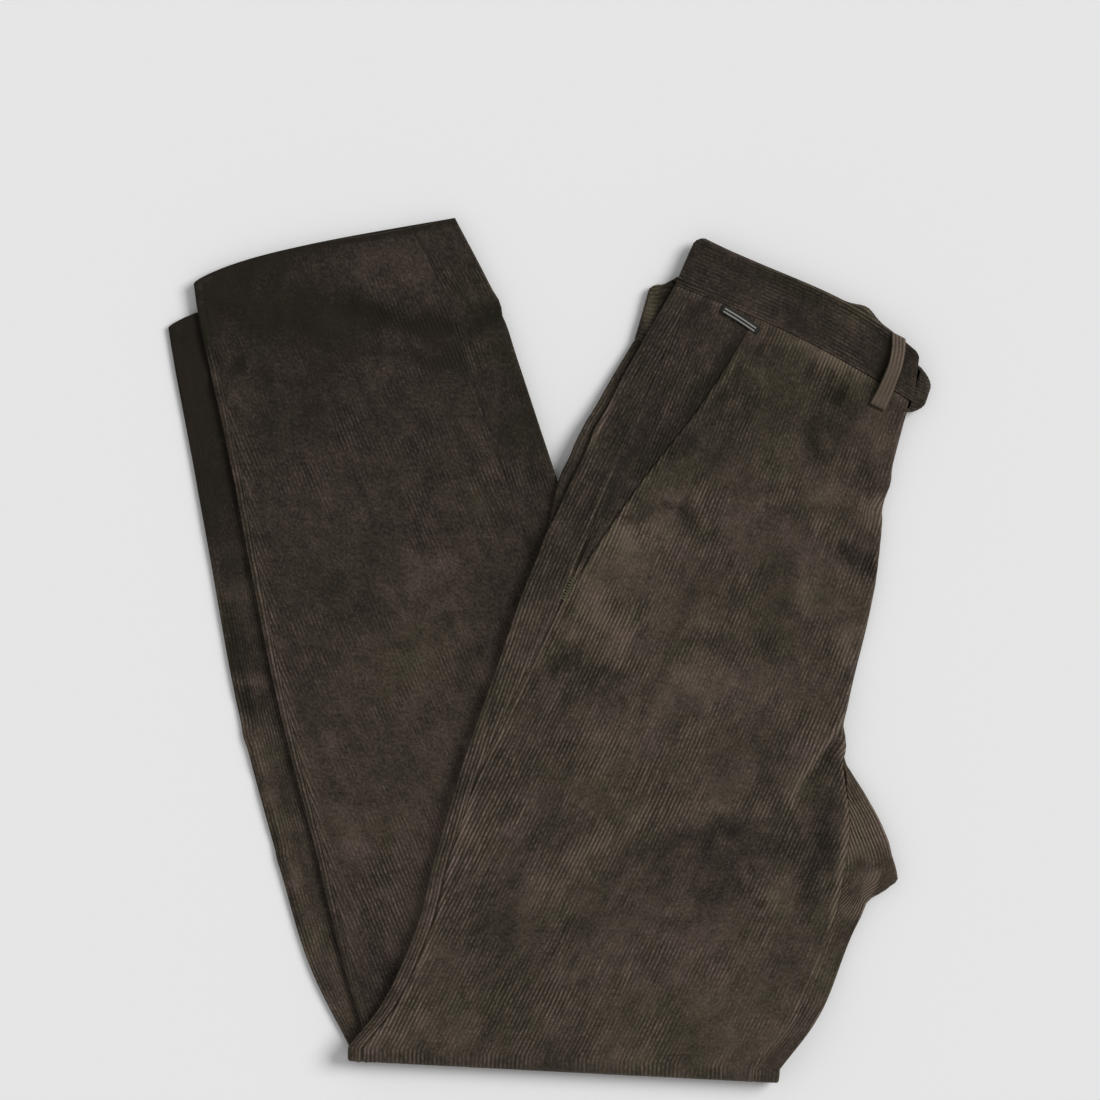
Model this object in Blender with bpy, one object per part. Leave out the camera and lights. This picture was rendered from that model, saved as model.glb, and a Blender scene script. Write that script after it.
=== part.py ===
"""Corduroy trousers, folded flat on a surface.

The trousers are folded lengthwise with their backs together, right leg on top, and then
across the knees, with the lower legs turned underneath. From the surface upwards the
layers are the right front, right back, left back and left front of the lower legs, then
the left front, left back, right back and right front of the upper legs.

Each leg is a flattened tube along its own row of sections. A section runs from the
tube's left edge to its right edge, seen from above. Across it, "a" is the distance from
the left edge, and "h" is the distance from the plane between the two legs, towards that
leg's front. At the knees both tubes turn half a turn round one axis.

Frame: metres, +Z up, +Y towards the waistband, +X towards the fly, origin at the bottom
centre of the folded garment. Sizes below are in millimetres.
"""

from collections import namedtuple
import math

import bmesh
import bpy
import numpy as np

MM = 0.001

# Cloth
CLOTH = 1.5                      # thickness of one panel
AIR = 1.1                        # between two layers that lie on each other
PITCH = CLOTH + AIR
SEAM_GAP = 0.3
HIDDEN_GAP = 1.0                 # round the hidden layers
HIDDEN_ROUND = 0.6               # their rounded edge draws in by this much
STRIP_GAP = 0.5                  # under a belt loop or the tab, over the facets of the cloth
JOIN_GAP = 0.8                   # between the two legs' edges at the centre front and back
CROTCH_GAP = 1.5                 # where the inseam starts, and the seam still opens
BACK_H = PITCH / 2               # the panels' middle surfaces, from the plane between the legs
FRONT_H = BACK_H + PITCH
FACING_DROP = 0.4                # the pocket facing lies this much under the front
INNER_AIR = 0.6                  # half the space inside the knee fold
LEGS_Q = INNER_AIR + CLOTH / 2 + FRONT_H      # from the knee axis to the plane between the legs
KNEE_Z = LEGS_Q + FRONT_H + CLOTH / 2         # height of the knee axis

# Waistband, doubled cloth
BAND = 2.2
BAND_CURL_R = FRONT_H            # the left half's free end turns up round this radius
BAND_BACK_SHORT = 6.0            # the band's back ends this far inside its front
BAND_SEAM_GAP = 0.45             # between the band and the panels, in plan
BACK_RISE = 4.0                  # the band's back peeps over its front by this much
BACK_RISE_AT = 118.0             # distance of that place from the band's left edge
BACK_RISE_WIDE = 9.0

# Belt loops and the pocket tab
LOOP_WIDE = 9.0
LOOP_THICK = 1.4
LOOP_BULGE = 1.8
TAB_WIDE = 5.0
TAB_THICK = 0.6

# How the upper legs come down from the lower legs to the surface
STEP_LINE = ((3.0, 118.3), (152.3, -279.7))   # right edge of the lower legs
STEP_LONG = 80.0
BAND_LIFT = 2.25                 # the waistband and its loop hold the hip up by this much
BAND_LIFT_FROM = 14.0            # from here under the waist seam
BAND_LIFT_LONG = 60.0

# Fineness
ROW_SPLITS = 2                   # cells between two rows of a table in the upper legs
KNEE_STEPS = 6
FRONT_CELLS = 10
BACK_CELLS = 9
EDGE_STEPS = 4                   # cells round one edge of a tube
JOIN_STEPS = 3                   # cells round the front's edge at the hip
STRIP_CELLS = 6                  # cells along a belt loop

# One row for each section of a leg. lx, ly and rx, ry are the tube's left and right edge.
# seam, mouth and inseam are distances along the section: side seam and pocket mouth from
# the left edge, inseam from the right edge.
Section = namedtuple("Section", "place lx ly rx ry seam mouth inseam")

RIGHT_UPPER = (
    Section("waist seam", 82.3, 243.0, 239.7, 165.3, 12.0, 58.0, 8.0),
    Section("hip", 49.0, 184.3, 225.0, 109.0, 19.0, 55.0, 8.0),
    Section("seat", 15.7, 117.7, 216.3, 39.7, 23.0, 41.0, 8.0),
    Section("pocket end", -15.0, 49.0, 200.3, -27.0, 27.0, 29.0, 8.0),
    Section("crotch", -38.3, -17.0, 196.3, -68.3, 19.0, 19.0, 3.0),
    Section("fork", -59.7, -77.0, 221.7, -119.0, 13.0, 13.0, 23.0),
    Section("fork point", -78.3, -140.3, 230.3, -151.0, 10.0, 10.0, 35.0),
    Section("thigh", -89.7, -183.7, 204.3, -183.7, 10.0, 10.0, 17.0),
    Section("above knee", -111.0, -232.3, 180.3, -241.7, 10.0, 10.0, 17.0),
    Section("knee", -135.7, -265.0, 152.3, -279.7, 10.0, 10.0, 17.0),
)
RIGHT_LOWER = (
    Section("knee", -135.7, -265.0, 152.3, -279.7, 10.0, 10.0, 17.0),
    Section("below knee", -163.7, -207.0, 122.3, -210.3, 9.0, 9.0, 22.0),
    Section("calf", -187.0, -127.0, 77.7, -130.3, 8.0, 8.0, 28.0),
    Section("mid calf", -210.5, -37.0, 36.3, -37.0, 8.0, 8.0, 30.0),
    Section("shin", -228.3, 59.7, 3.0, 59.7, 8.0, 8.0, 30.0),
    Section("low shin", -240.3, 126.3, -19.0, 119.7, 8.0, 8.0, 30.0),
    Section("ankle", -251.7, 186.3, -41.0, 176.3, 8.0, 8.0, 30.0),
    Section("hem", -256.3, 214.3, -82.3, 258.3, 8.0, 8.0, 28.0),
)
LEFT_UPPER = (
    Section("waist seam", 55.0, 206.3, 237.7, 158.3, 12.0, 58.0, 8.0),
    Section("hip", 32.3, 167.7, 224.0, 102.3, 19.0, 55.0, 8.0),
    Section("seat", 5.7, 116.3, 215.0, 33.0, 23.0, 41.0, 8.0),
    Section("pocket end", -7.0, 55.0, 199.7, -32.3, 27.0, 29.0, 8.0),
    Section("crotch", -30.3, -17.0, 194.3, -71.7, 19.0, 19.0, 3.0),
    Section("fork", -51.7, -77.0, 213.7, -120.3, 13.0, 13.0, 20.0),
    Section("fork point", -70.3, -140.3, 221.7, -149.7, 10.0, 10.0, 32.0),
    Section("thigh", -81.7, -183.7, 196.3, -183.7, 9.0, 9.0, 20.0),
    Section("above knee", -101.0, -232.3, 172.3, -239.0, 8.0, 8.0, 22.0),
    Section("knee", -122.3, -265.7, 143.0, -279.2, 8.0, 8.0, 25.0),
)
LEFT_LOWER = (
    Section("knee", -122.3, -265.7, 143.0, -279.2, 8.0, 8.0, 25.0),
    Section("below knee", -140.3, -207.0, 118.3, -207.0, 7.0, 7.0, 28.0),
    Section("calf", -159.7, -127.0, 88.3, -127.0, 6.0, 6.0, 31.0),
    Section("mid calf", -183.5, -33.7, 54.3, -33.7, 6.0, 6.0, 34.0),
    Section("shin", -202.3, 59.7, 22.3, 59.7, 6.0, 6.0, 35.0),
    Section("low shin", -215.0, 126.3, -0.3, 126.3, 6.0, 6.0, 35.0),
    Section("ankle", -229.7, 193.0, -22.3, 193.0, 6.0, 6.0, 35.0),
    Section("hem fold", -236.0, 223.0, -36.0, 233.0, 6.0, 6.0, 33.0),
    Section("hem", -239.0, 243.7, -64.3, 288.3, 6.0, 6.0, 30.0),
)
HEM_BOW = 5.0                    # the hems bow out by this much
WAIST_BOW = 5.0                  # and so does the waist seam
BAND_TOP_BOW = 8.0

# The waistband halves, as the sections at their top and at the waist seam
Band = namedtuple("Band", "place lx ly rx ry")
RIGHT_BAND = (Band("top", 98.3, 273.6, 243.7, 199.0), Band("seam", 82.3, 243.0, 240.3, 165.0))
LEFT_BAND = (Band("top", 66.3, 245.0, 257.0, 185.5), Band("seam", 55.0, 206.3, 247.0, 155.8))

# The belt loops' middle lines
Loop = namedtuple("Loop", "place x y")
RIGHT_LOOP = (Loop("top", 231.7, 211.3), Loop("bottom", 218.0, 160.0))
LEFT_LOOP = (Loop("top", 238.0, 195.0), Loop("bottom", 226.0, 146.0))
TAB_ENDS = ((115.0, 227.0), (137.0, 213.0))

# Soft ridges of the cloth, each from one end to the other
Ridge = namedtuple("Ridge", "place x0 y0 x1 y1 wide high")
RIGHT_RIDGES = (
    Ridge("front under the band", 137.0, 212.0, 212.0, 176.0, 13.0, 2.0),
    Ridge("drag from the crotch", 186.0, -58.0, 150.0, -104.0, 16.0, 3.0),
    Ridge("across the thigh", -12.0, -160.0, 112.0, -96.0, 26.0, 2.2),
    Ridge("beside the pocket end", 24.0, 56.0, 62.0, 84.0, 20.0, 1.6),
)
LEFT_RIDGES = (
    Ridge("above the hem crease", -110.0, 262.0, -48.0, 258.0, 22.0, 2.4),
    Ridge("below the hem crease", -200.0, 205.0, -120.0, 196.0, 22.0, 1.6),
    Ridge("across the calf", -150.0, -45.0, -40.0, 0.0, 26.0, 1.4),
)

Leg = namedtuple("Leg", "side left across width turn seam mouth inseam bow crotch ridges")


def smooth_fall(distance, length):
    """1 up to distance 0, 0 past length, half a cosine between."""
    return 0.5 + 0.5 * np.cos(np.pi * np.clip(distance / length, 0.0, 1.0))


def signed_distance(plan, start, end):
    """Distance of plan points to the right of the line that runs from start to end."""
    start, end = np.array(start), np.array(end)
    along = (end - start) / np.linalg.norm(end - start)
    return (plan - start) @ np.array([along[1], -along[0]])


def ridge_height(plan, ridges):
    """Sum of the ridges: a bell across each one that fades towards its ends."""
    height = np.zeros(plan.shape[:-1])
    for ridge in ridges:
        start, end = np.array([ridge.x0, ridge.y0]), np.array([ridge.x1, ridge.y1])
        run = end - start
        t = np.clip(((plan - start) @ run) / (run @ run), 0.0, 1.0)
        away = np.linalg.norm(plan - start - t[..., None] * run, axis=-1)
        height += ridge.high * smooth_fall(away, ridge.wide)
    return height


def rest_height(plan):
    """Height of the knee axis's level under the upper legs: down the step, up at the band."""
    step = smooth_fall(-signed_distance(plan, *STEP_LINE), STEP_LONG)
    waist = LEFT_UPPER[0]
    below_band = signed_distance(plan, (waist.lx, waist.ly), (waist.rx, waist.ry))
    lift = BAND_LIFT * smooth_fall(below_band - BAND_LIFT_FROM, BAND_LIFT_LONG)
    return -INNER_AIR + (KNEE_Z + INNER_AIR) * step + lift * (1.0 - step)


def knee_out():
    """Unit vector in plan, out of the knee fold."""
    knee = RIGHT_UPPER[-1]
    along = np.array([knee.rx - knee.lx, knee.ry - knee.ly])
    along /= np.linalg.norm(along)
    return np.array([along[1], -along[0]])


def through(rows, splits):
    """Catmull-Rom curve through a table's rows, with splits cells between two rows."""
    rows = np.array([row[1:] for row in rows], dtype=float)
    padded = np.vstack([2 * rows[0] - rows[1], rows, 2 * rows[-1] - rows[-2]])
    points = []
    for p0, p1, p2, p3 in zip(padded, padded[1:], padded[2:], padded[3:]):
        for t in np.arange(splits) / splits:
            points.append(0.5 * (2 * p1 + (p2 - p0) * t + (2 * p0 - 5 * p1 + 4 * p2 - p3) * t ** 2
                                 + (3 * p1 - p0 - 3 * p2 + p3) * t ** 3))
    points.append(rows[-1])
    return np.array(points)


def make_leg(side, upper, lower, ridges):
    """The stations of one leg: its upper run, the turn at the knee, its lower run."""
    over = through(upper, ROW_SPLITS)
    under = through(lower, 1)
    knee = np.repeat(over[-1:], KNEE_STEPS - 1, axis=0)
    table = np.vstack([over, knee, under])
    turn = np.concatenate([np.zeros(len(over)), np.arange(1, KNEE_STEPS) * np.pi / KNEE_STEPS,
                           np.full(len(under), np.pi)])
    left, right = table[:, 0:2], table[:, 2:4]
    width = np.linalg.norm(right - left, axis=1)
    bow = np.zeros(len(table))
    bow[0], bow[-1] = WAIST_BOW, HEM_BOW
    places = [section.place for section in upper]
    crotch = places.index("crotch") * ROW_SPLITS
    return Leg(side, left, (right - left) / width[:, None], width, turn,
               table[:, 4], table[:, 5], table[:, 6], bow, crotch, ridges)


def place(leg, a, h):
    """World points, in millimetres, of section coordinates a and h at every station."""
    plan = leg.left[:, None, :] + leg.across[:, None, :] * a[..., None]
    bow_out = np.stack([-leg.across[:, 1], leg.across[:, 0]], axis=1)[:, None, :]
    share = np.clip(a / leg.width[:, None], 0.0, 1.0)
    plan = plan + bow_out * (leg.bow[:, None] * np.sin(np.pi * share))[..., None]
    q = LEGS_Q + leg.side * h
    turn = leg.turn[:, None]
    upper = turn < 1e-6
    z = np.where(upper, rest_height(plan) + q, KNEE_Z + q * np.cos(turn))
    shows = upper if leg.side > 0 else turn > math.pi - 1e-6
    front = np.clip((h - BACK_H) / PITCH, 0.0, 1.0)
    z = z + np.where(shows, ridge_height(plan, leg.ridges), 0.0) * front
    plan = plan + knee_out() * (q * np.sin(turn))[..., None]
    return np.concatenate([plan, z[..., None]], axis=-1)


def arc(centre_a, centre_h, radius, start, end, cells, facing=1.0):
    """Points round an arc, without its first: rows of a, h and the unit normal's a, h."""
    angles = np.radians(np.linspace(start, end, cells + 1))[1:]
    return [(centre_a + radius * np.cos(t), centre_h + radius * np.sin(t),
             facing * np.cos(t), facing * np.sin(t)) for t in angles]


def run(start_a, end_a, h, cells, facing):
    """Points along a level stretch, first one included."""
    return [(a, h, 0.0, facing) for a in np.linspace(start_a, end_a, cells + 1)]


def front_section(width, start, inseam, joined):
    """The front: level, and at the hip turned down at its right edge to meet the other leg."""
    centre = width - CLOTH / 2 - FRONT_H
    if not joined:
        end = width - inseam
        return (run(start, end - FRONT_H, FRONT_H, FRONT_CELLS, 1.0)
                + run(end - FRONT_H, end, FRONT_H, JOIN_STEPS, 1.0)[1:])
    end = math.degrees(math.asin(JOIN_GAP / 2 / FRONT_H))
    return (run(start, centre, FRONT_H, FRONT_CELLS, 1.0)
            + arc(centre, 0.0, FRONT_H, 90.0, end, JOIN_STEPS))


def back_section(width, seam, inseam, joined):
    """The back: from the side seam round the left edge, level, and round the right edge."""
    edge = (CLOTH + PITCH) / 2
    middle_h = (FRONT_H + BACK_H) / 2
    points = run(seam, edge, FRONT_H, 1, 1.0)
    points += arc(edge, middle_h, PITCH / 2, 90.0, 270.0, EDGE_STEPS)
    right = width - (CLOTH / 2 + FRONT_H if joined else edge)
    points += run(edge, right, BACK_H, BACK_CELLS, -1.0)[1:]
    if joined:
        end = math.degrees(math.asin(JOIN_GAP / 2 / BACK_H))
        points += arc(right, 0.0, BACK_H, 90.0, end, EDGE_STEPS + 1, -1.0)
    else:
        points += arc(right, middle_h, PITCH / 2, -90.0, 90.0, EDGE_STEPS)
        points.append((width - inseam, FRONT_H, 0.0, 1.0))
    return points


def band_section(width, curled):
    """A waistband half: front, round the left edge, and back; the left half's end curls."""
    edge = (BAND + PITCH) / 2
    front_end = width - BAND / 2 - BAND_CURL_R if curled else width
    points = []
    if curled:
        curl = arc(front_end, 0.0, BAND_CURL_R, -90.0, 90.0, 2 * EDGE_STEPS)
        points += [(front_end, -BAND_CURL_R, 0.0, -1.0)] + curl
    else:
        points += [(front_end, FRONT_H, 0.0, 1.0)]
    points += run(front_end, edge, FRONT_H, BACK_CELLS, 1.0)[1:]
    points += arc(edge, (FRONT_H + BACK_H) / 2, PITCH / 2, 90.0, 270.0, EDGE_STEPS)
    points += run(edge, width - BAND_BACK_SHORT - BAND_CURL_R, BACK_H, BACK_CELLS, -1.0)[1:]
    return points


def faces_of(leg, sections, thickness):
    """The outer and inner surface of a wall from one section per station."""
    table = np.array(sections)
    a, h, normal_a, normal_h = np.moveaxis(table, 2, 0)
    half = thickness / 2
    outer = place(leg, a + half * normal_a, h + half * normal_h)
    inner = place(leg, a - half * normal_a, h - half * normal_h)
    return outer, inner


def closed_wall(outer, inner, cells=None):
    """Vertices and triangles of the closed body between two grids, over the chosen cells."""
    rows, columns = outer.shape[0], outer.shape[1]
    if cells is None:
        cells = np.ones((rows - 1, columns - 1), dtype=bool)
    inside = np.arange(rows * columns).reshape(rows, columns) + rows * columns
    outside = inside - rows * columns
    triangles = []

    def quad(a, b, c, d):
        triangles.extend([(a, b, c), (a, c, d)])

    for i, j in zip(*np.nonzero(cells)):
        corners = [(i, j), (i + 1, j), (i + 1, j + 1), (i, j + 1)]
        quad(*[outside[corner] for corner in corners])
        quad(*[inside[corner] for corner in (corners[0], corners[3], corners[2], corners[1])])
        neighbours = [(i, j - 1), (i + 1, j), (i, j + 1), (i - 1, j)]
        for k, (row, column) in enumerate(neighbours):
            open_side = not (0 <= row < rows - 1 and 0 <= column < columns - 1)
            if open_side or not cells[row, column]:
                start, end = corners[k], corners[(k + 1) % 4]
                quad(outside[end], outside[start], inside[start], inside[end])
    points = np.vstack([outer.reshape(-1, 3), inner.reshape(-1, 3)])
    return points, triangles


def make_material(name, colour, roughness):
    """A plain Principled material."""
    material = bpy.data.materials.new(name)
    material.use_nodes = True
    shader = material.node_tree.nodes["Principled BSDF"]
    shader.inputs["Base Color"].default_value = (*colour, 1.0)
    shader.inputs["Roughness"].default_value = roughness
    shader.inputs["Metallic"].default_value = 0.0
    return material


def make_object(name, points, triangles, material):
    """One closed object from points in millimetres, faces turned out, unused points dropped."""
    mesh = bpy.data.meshes.new(name)
    mesh.from_pydata((points * MM).tolist(), [], [tuple(int(k) for k in t) for t in triangles])
    body = bmesh.new()
    body.from_mesh(mesh)
    loose = [vertex for vertex in body.verts if not vertex.link_faces]
    bmesh.ops.delete(body, geom=loose, context="VERTS")
    bmesh.ops.recalc_face_normals(body, faces=body.faces)
    body.to_mesh(mesh)
    body.free()
    mesh.materials.append(material)
    item = bpy.data.objects.new(name, mesh)
    bpy.context.collection.objects.link(item)
    return item


def window_of():
    """The back's hidden middle: its first and last station, and its first and last column."""
    rows = (len(RIGHT_UPPER) - 1) * ROW_SPLITS + KNEE_STEPS + len(RIGHT_LOWER) - 1
    first_column = 1 + EDGE_STEPS + 1
    return 1, rows - 1, first_column, first_column + BACK_CELLS - 2


def make_front(name, leg, material):
    """A front panel, from the waist seam round the knee to the hem."""
    sections = []
    for k, width in enumerate(leg.width):
        start = max(leg.mouth[k], leg.seam[k])
        sections.append(front_section(width, start, leg.inseam[k], k < leg.crotch))
    return make_object(name, *closed_wall(*faces_of(leg, sections, CLOTH)), material)


def make_back(name, leg, material):
    """A back panel, round both edges of the leg, without its hidden middle."""
    sections = []
    for k, width in enumerate(leg.width):
        gap = CROTCH_GAP if k == leg.crotch + 1 else SEAM_GAP
        sections.append(back_section(width, leg.seam[k] - SEAM_GAP, leg.inseam[k] - gap,
                                     k <= leg.crotch))
    outer, inner = faces_of(leg, sections, CLOTH)
    cells = np.ones((outer.shape[0] - 1, outer.shape[1] - 1), dtype=bool)
    first_row, last_row, first_column, last_column = window_of()
    cells[first_row:last_row, first_column:last_column] = False
    return make_object(name, *closed_wall(outer, inner, cells), material)


def shortened(leg, first, last):
    """A leg's stations from first to last, the end ones moved in by the hidden layers' gap."""
    picked = {}
    for field in ("left", "across", "width", "turn", "seam", "mouth", "inseam", "bow"):
        picked[field] = getattr(leg, field)[first:last + 1].copy()
    for end, neighbour in ((0, 1), (-1, -2)):
        step = leg.left[first:last + 1][neighbour] - leg.left[first:last + 1][end]
        share = HIDDEN_GAP / np.linalg.norm(step)
        for field in ("left", "across", "width"):
            values = picked[field]
            values[end] += share * (values[neighbour] - values[end])
        picked["across"][end] /= np.linalg.norm(picked["across"][end])
    return leg._replace(**picked)


def make_hidden_layers(right, left, material):
    """The two backs' hidden middles as one solid: two rounded layers with a groove between."""
    first, last, first_column, last_column = window_of()
    # each ring: the leg it follows, how far it lies inside the window, and its height
    rings = ((right, HIDDEN_ROUND, BACK_H + CLOTH / 2), (right, 0.0, BACK_H),
             (right, HIDDEN_ROUND, BACK_H - CLOTH / 2), (left, HIDDEN_ROUND, BACK_H - CLOTH / 2),
             (left, 0.0, BACK_H), (left, HIDDEN_ROUND, BACK_H + CLOTH / 2))
    grids = []
    for leg, inset, h in rings:
        short = shortened(leg, first, last)
        columns = []
        for k, width in zip(range(first, last + 1), short.width):
            section = np.array(back_section(width, leg.seam[k], leg.inseam[k], k <= leg.crotch))
            row = section[first_column:last_column + 1, 0].copy()
            row[0] += HIDDEN_GAP + inset
            row[-1] -= HIDDEN_GAP + inset
            columns.append(row)
        a = np.array(columns)
        grids.append(place(short, a, np.full(a.shape, h)))
    rows, columns = grids[0].shape[:2]
    index = np.arange(rows * columns).reshape(rows, columns)
    border = np.concatenate([index[0, :-1], index[:-1, -1], index[-1, :0:-1], index[:0:-1, 0]])
    points = np.vstack([grid.reshape(-1, 3) for grid in grids])
    size = rows * columns
    triangles = []
    for grid in (0, len(grids) - 1):
        for i, j in np.ndindex(rows - 1, columns - 1):
            a, b, c, d = index[i:i + 2, j:j + 2].ravel() + grid * size
            triangles.extend([(a, c, d), (a, d, b)])
    for ring in range(len(grids) - 1):
        for start, end in zip(border, np.roll(border, -1)):
            a, b = ring * size + start, ring * size + end
            triangles.extend([(a, b, b + size), (a, b + size, a + size)])
    return make_object("hidden_layers", points, triangles, material)


def make_facing(name, leg, material):
    """The pocket facing: between the side seam and the pocket mouth, a little under the front."""
    last = [section.place for section in RIGHT_UPPER].index("pocket end") * ROW_SPLITS
    part = leg._replace(**{field: getattr(leg, field)[:last + 1] for field in
                           ("left", "across", "width", "turn", "seam", "mouth", "inseam", "bow")})
    sections = [run(seam + SEAM_GAP, mouth - SEAM_GAP, FRONT_H - FACING_DROP, 2, 1.0)
                for seam, mouth in zip(part.seam, part.mouth)]
    return make_object(name, *closed_wall(*faces_of(part, sections, CLOTH)), material)


def make_band(name, leg, rows, curled, material):
    """A waistband half between its top edge and the waist seam."""
    top, seam = rows
    left = np.array([[top.lx, top.ly], [seam.lx, seam.ly]])
    right = np.array([[top.rx, top.ry], [seam.rx, seam.ry]])
    for ends in (left, right):
        up = (ends[0] - ends[1]) / np.linalg.norm(ends[0] - ends[1])
        ends[1] += up * BAND_SEAM_GAP
    middle = (left[0] + left[1]) / 2, (right[0] + right[1]) / 2
    left = np.array([left[0], middle[0], left[1]])
    right = np.array([right[0], middle[1], right[1]])
    width = np.linalg.norm(right - left, axis=1)
    stretch = leg._replace(left=left, across=(right - left) / width[:, None], width=width,
                           turn=np.zeros(len(width)), ridges=(),
                           bow=np.linspace(BAND_TOP_BOW, WAIST_BOW, len(width)))
    outer, inner = faces_of(stretch, [band_section(w, curled) for w in width], BAND)
    if not curled:
        back = slice(len(band_section(width[0], curled)) - BACK_CELLS, None)
        a = np.linalg.norm(outer[0, back, :2] - left[0], axis=1)
        rise = BACK_RISE * np.exp(-((a - BACK_RISE_AT) / BACK_RISE_WIDE) ** 2)
        up = np.array([-stretch.across[0, 1], stretch.across[0, 0]])
        for grid in (outer, inner):
            grid[0, back, :2] += rise[:, None] * up
    return make_object(name, *closed_wall(outer, inner), material)


def make_strip(name, ends, wide, thick, q, bulge, facing, ridges, material):
    """A narrow strip that lies on the cloth between two points, raised in its middle."""
    start, end = np.array(ends[0], dtype=float), np.array(ends[1], dtype=float)
    along = (end - start) / np.linalg.norm(end - start)
    sideways = np.array([along[1], -along[0]])
    t = np.linspace(0.0, 1.0, STRIP_CELLS + 1)
    plan = (start + t[:, None] * (end - start))[:, None, :]
    plan = plan + sideways * (np.array([-0.5, 0.5]) * wide)[None, :, None]
    near = rest_height(plan) + q + ridge_height(plan, ridges)
    near = near + facing * (bulge * np.sin(np.pi * t) ** 2)[:, None]
    grids = [np.concatenate([plan, z[..., None]], axis=-1) for z in (near + facing * thick, near)]
    return make_object(name, *closed_wall(*grids), material)


def centre_on_origin(objects):
    """Moves the meshes so that the origin is the bottom centre of them all."""
    points = np.vstack([np.array([vertex.co for vertex in item.data.vertices]) for item in objects])
    low, high = points.min(axis=0), points.max(axis=0)
    shift = np.array([(low[0] + high[0]) / 2, (low[1] + high[1]) / 2, low[2]])
    for item in objects:
        for vertex in item.data.vertices:
            vertex.co = [c - s for c, s in zip(vertex.co, shift)]
        item.data.update()
    print("moved by, in mm:", -shift / MM)


def main():
    """Builds every piece."""
    for item in list(bpy.data.objects):
        bpy.data.objects.remove(item, do_unlink=True)

    corduroy = make_material("corduroy", (0.042, 0.033, 0.026), 0.9)
    band_cloth = make_material("band_corduroy", (0.046, 0.037, 0.028), 0.9)
    tape = make_material("woven_tape", (0.06, 0.055, 0.045), 0.85)

    right = make_leg(1.0, RIGHT_UPPER, RIGHT_LOWER, RIGHT_RIDGES)
    left = make_leg(-1.0, LEFT_UPPER, LEFT_LOWER, LEFT_RIDGES)
    band_top = LEGS_Q + FRONT_H + BAND / 2 + STRIP_GAP
    band_bottom = LEGS_Q - FRONT_H - BAND / 2 - STRIP_GAP
    front_top = LEGS_Q + FRONT_H + CLOTH / 2 + STRIP_GAP

    objects = [
        make_front("right_front", right, corduroy),
        make_back("right_back", right, corduroy),
        make_facing("right_pocket_facing", right, corduroy),
        make_band("right_waistband", right, RIGHT_BAND, False, band_cloth),
        make_front("left_front", left, corduroy),
        make_back("left_back", left, corduroy),
        make_facing("left_pocket_facing", left, corduroy),
        make_band("left_waistband", left, LEFT_BAND, True, band_cloth),
        make_hidden_layers(right, left, corduroy),
        make_strip("belt_loop_right", [row[1:] for row in RIGHT_LOOP], LOOP_WIDE, LOOP_THICK,
                   band_top, LOOP_BULGE, 1.0, RIGHT_RIDGES, band_cloth),
        make_strip("belt_loop_left", [row[1:] for row in LEFT_LOOP], LOOP_WIDE, LOOP_THICK,
                   band_bottom, 0.0, -1.0, (), band_cloth),
        make_strip("pocket_tab", TAB_ENDS, TAB_WIDE, TAB_THICK, front_top, 0.0, 1.0,
                   RIGHT_RIDGES, tape),
    ]
    centre_on_origin(objects)


main()
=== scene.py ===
"""Corduroy trousers, folded flat: cloth, seams, folds and pile around the fixed frame.

Sizes in the tables are millimetres. The trousers are folded lengthwise with their backs
together, right leg on top, and then across the knees. Each leg is a flattened tube that
follows its own row of sections: "a" runs from the tube's left edge to its right one and
"h" from the plane between the two legs towards that leg's front. At the knees both tubes
turn half a turn round one axis.
"""

from collections import namedtuple
import math

import bpy
import numpy as np
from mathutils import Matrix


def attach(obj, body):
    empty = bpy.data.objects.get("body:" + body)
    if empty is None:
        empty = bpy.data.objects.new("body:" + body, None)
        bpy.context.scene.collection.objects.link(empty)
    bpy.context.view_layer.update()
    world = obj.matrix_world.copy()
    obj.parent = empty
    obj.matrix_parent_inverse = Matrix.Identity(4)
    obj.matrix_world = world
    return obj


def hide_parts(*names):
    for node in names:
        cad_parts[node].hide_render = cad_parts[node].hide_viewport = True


bl_info = {
    "name": "Folded Corduroy Trousers",
    "version": (1, 0, 0),
    "blender": (4, 5, 0),
    "location": "View3D > Sidebar > Trousers",
    "description": "Makes the cloth, seams and pile of folded corduroy trousers",
    "category": "Add Mesh",
}

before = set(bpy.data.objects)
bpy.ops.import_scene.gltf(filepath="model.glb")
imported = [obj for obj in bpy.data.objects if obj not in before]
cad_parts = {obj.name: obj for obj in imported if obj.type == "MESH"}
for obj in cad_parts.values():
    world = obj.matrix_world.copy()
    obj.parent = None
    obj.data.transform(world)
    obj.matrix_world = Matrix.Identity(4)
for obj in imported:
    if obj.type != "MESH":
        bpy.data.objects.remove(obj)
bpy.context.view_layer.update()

MM = 0.001
ORIGIN = (-0.35, 0.591, 0.001)  # from the tables' place to the frame's

# Layers of the folded garment
CLOTH = 1.3  # thickness of the visible cloth
PANEL = 1.5  # thickness of the frame's panel round it
AIR = 1.1  # between two panels
PITCH = PANEL + AIR  # from one layer's middle to the next
JOIN_GAP = 0.8  # between the two legs' edges at the centre front and back
BACK_H = PITCH / 2  # the panels' middles, from the plane between the legs
FRONT_H = BACK_H + PITCH
INNER_AIR = 0.6  # half the space inside the knee fold
LEGS_Q = INNER_AIR + PANEL / 2 + FRONT_H  # from the knee axis to the plane between the legs
KNEE_Z = LEGS_Q + FRONT_H + PANEL / 2  # height of the knee axis
LOW_Q, HIGH_Q = LEGS_Q - FRONT_H, LEGS_Q + FRONT_H  # the layers nearest to it and furthest
EDGE_A = PANEL / 2 + PITCH / 2  # where a tube's rounded edge starts
SEAM_GAP = 0.1  # between two panels at a seam
BAND = 2.2  # thickness of the doubled waistband
BAND_BACK_SHORT = 6.0  # the band's back ends this far inside its front

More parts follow.
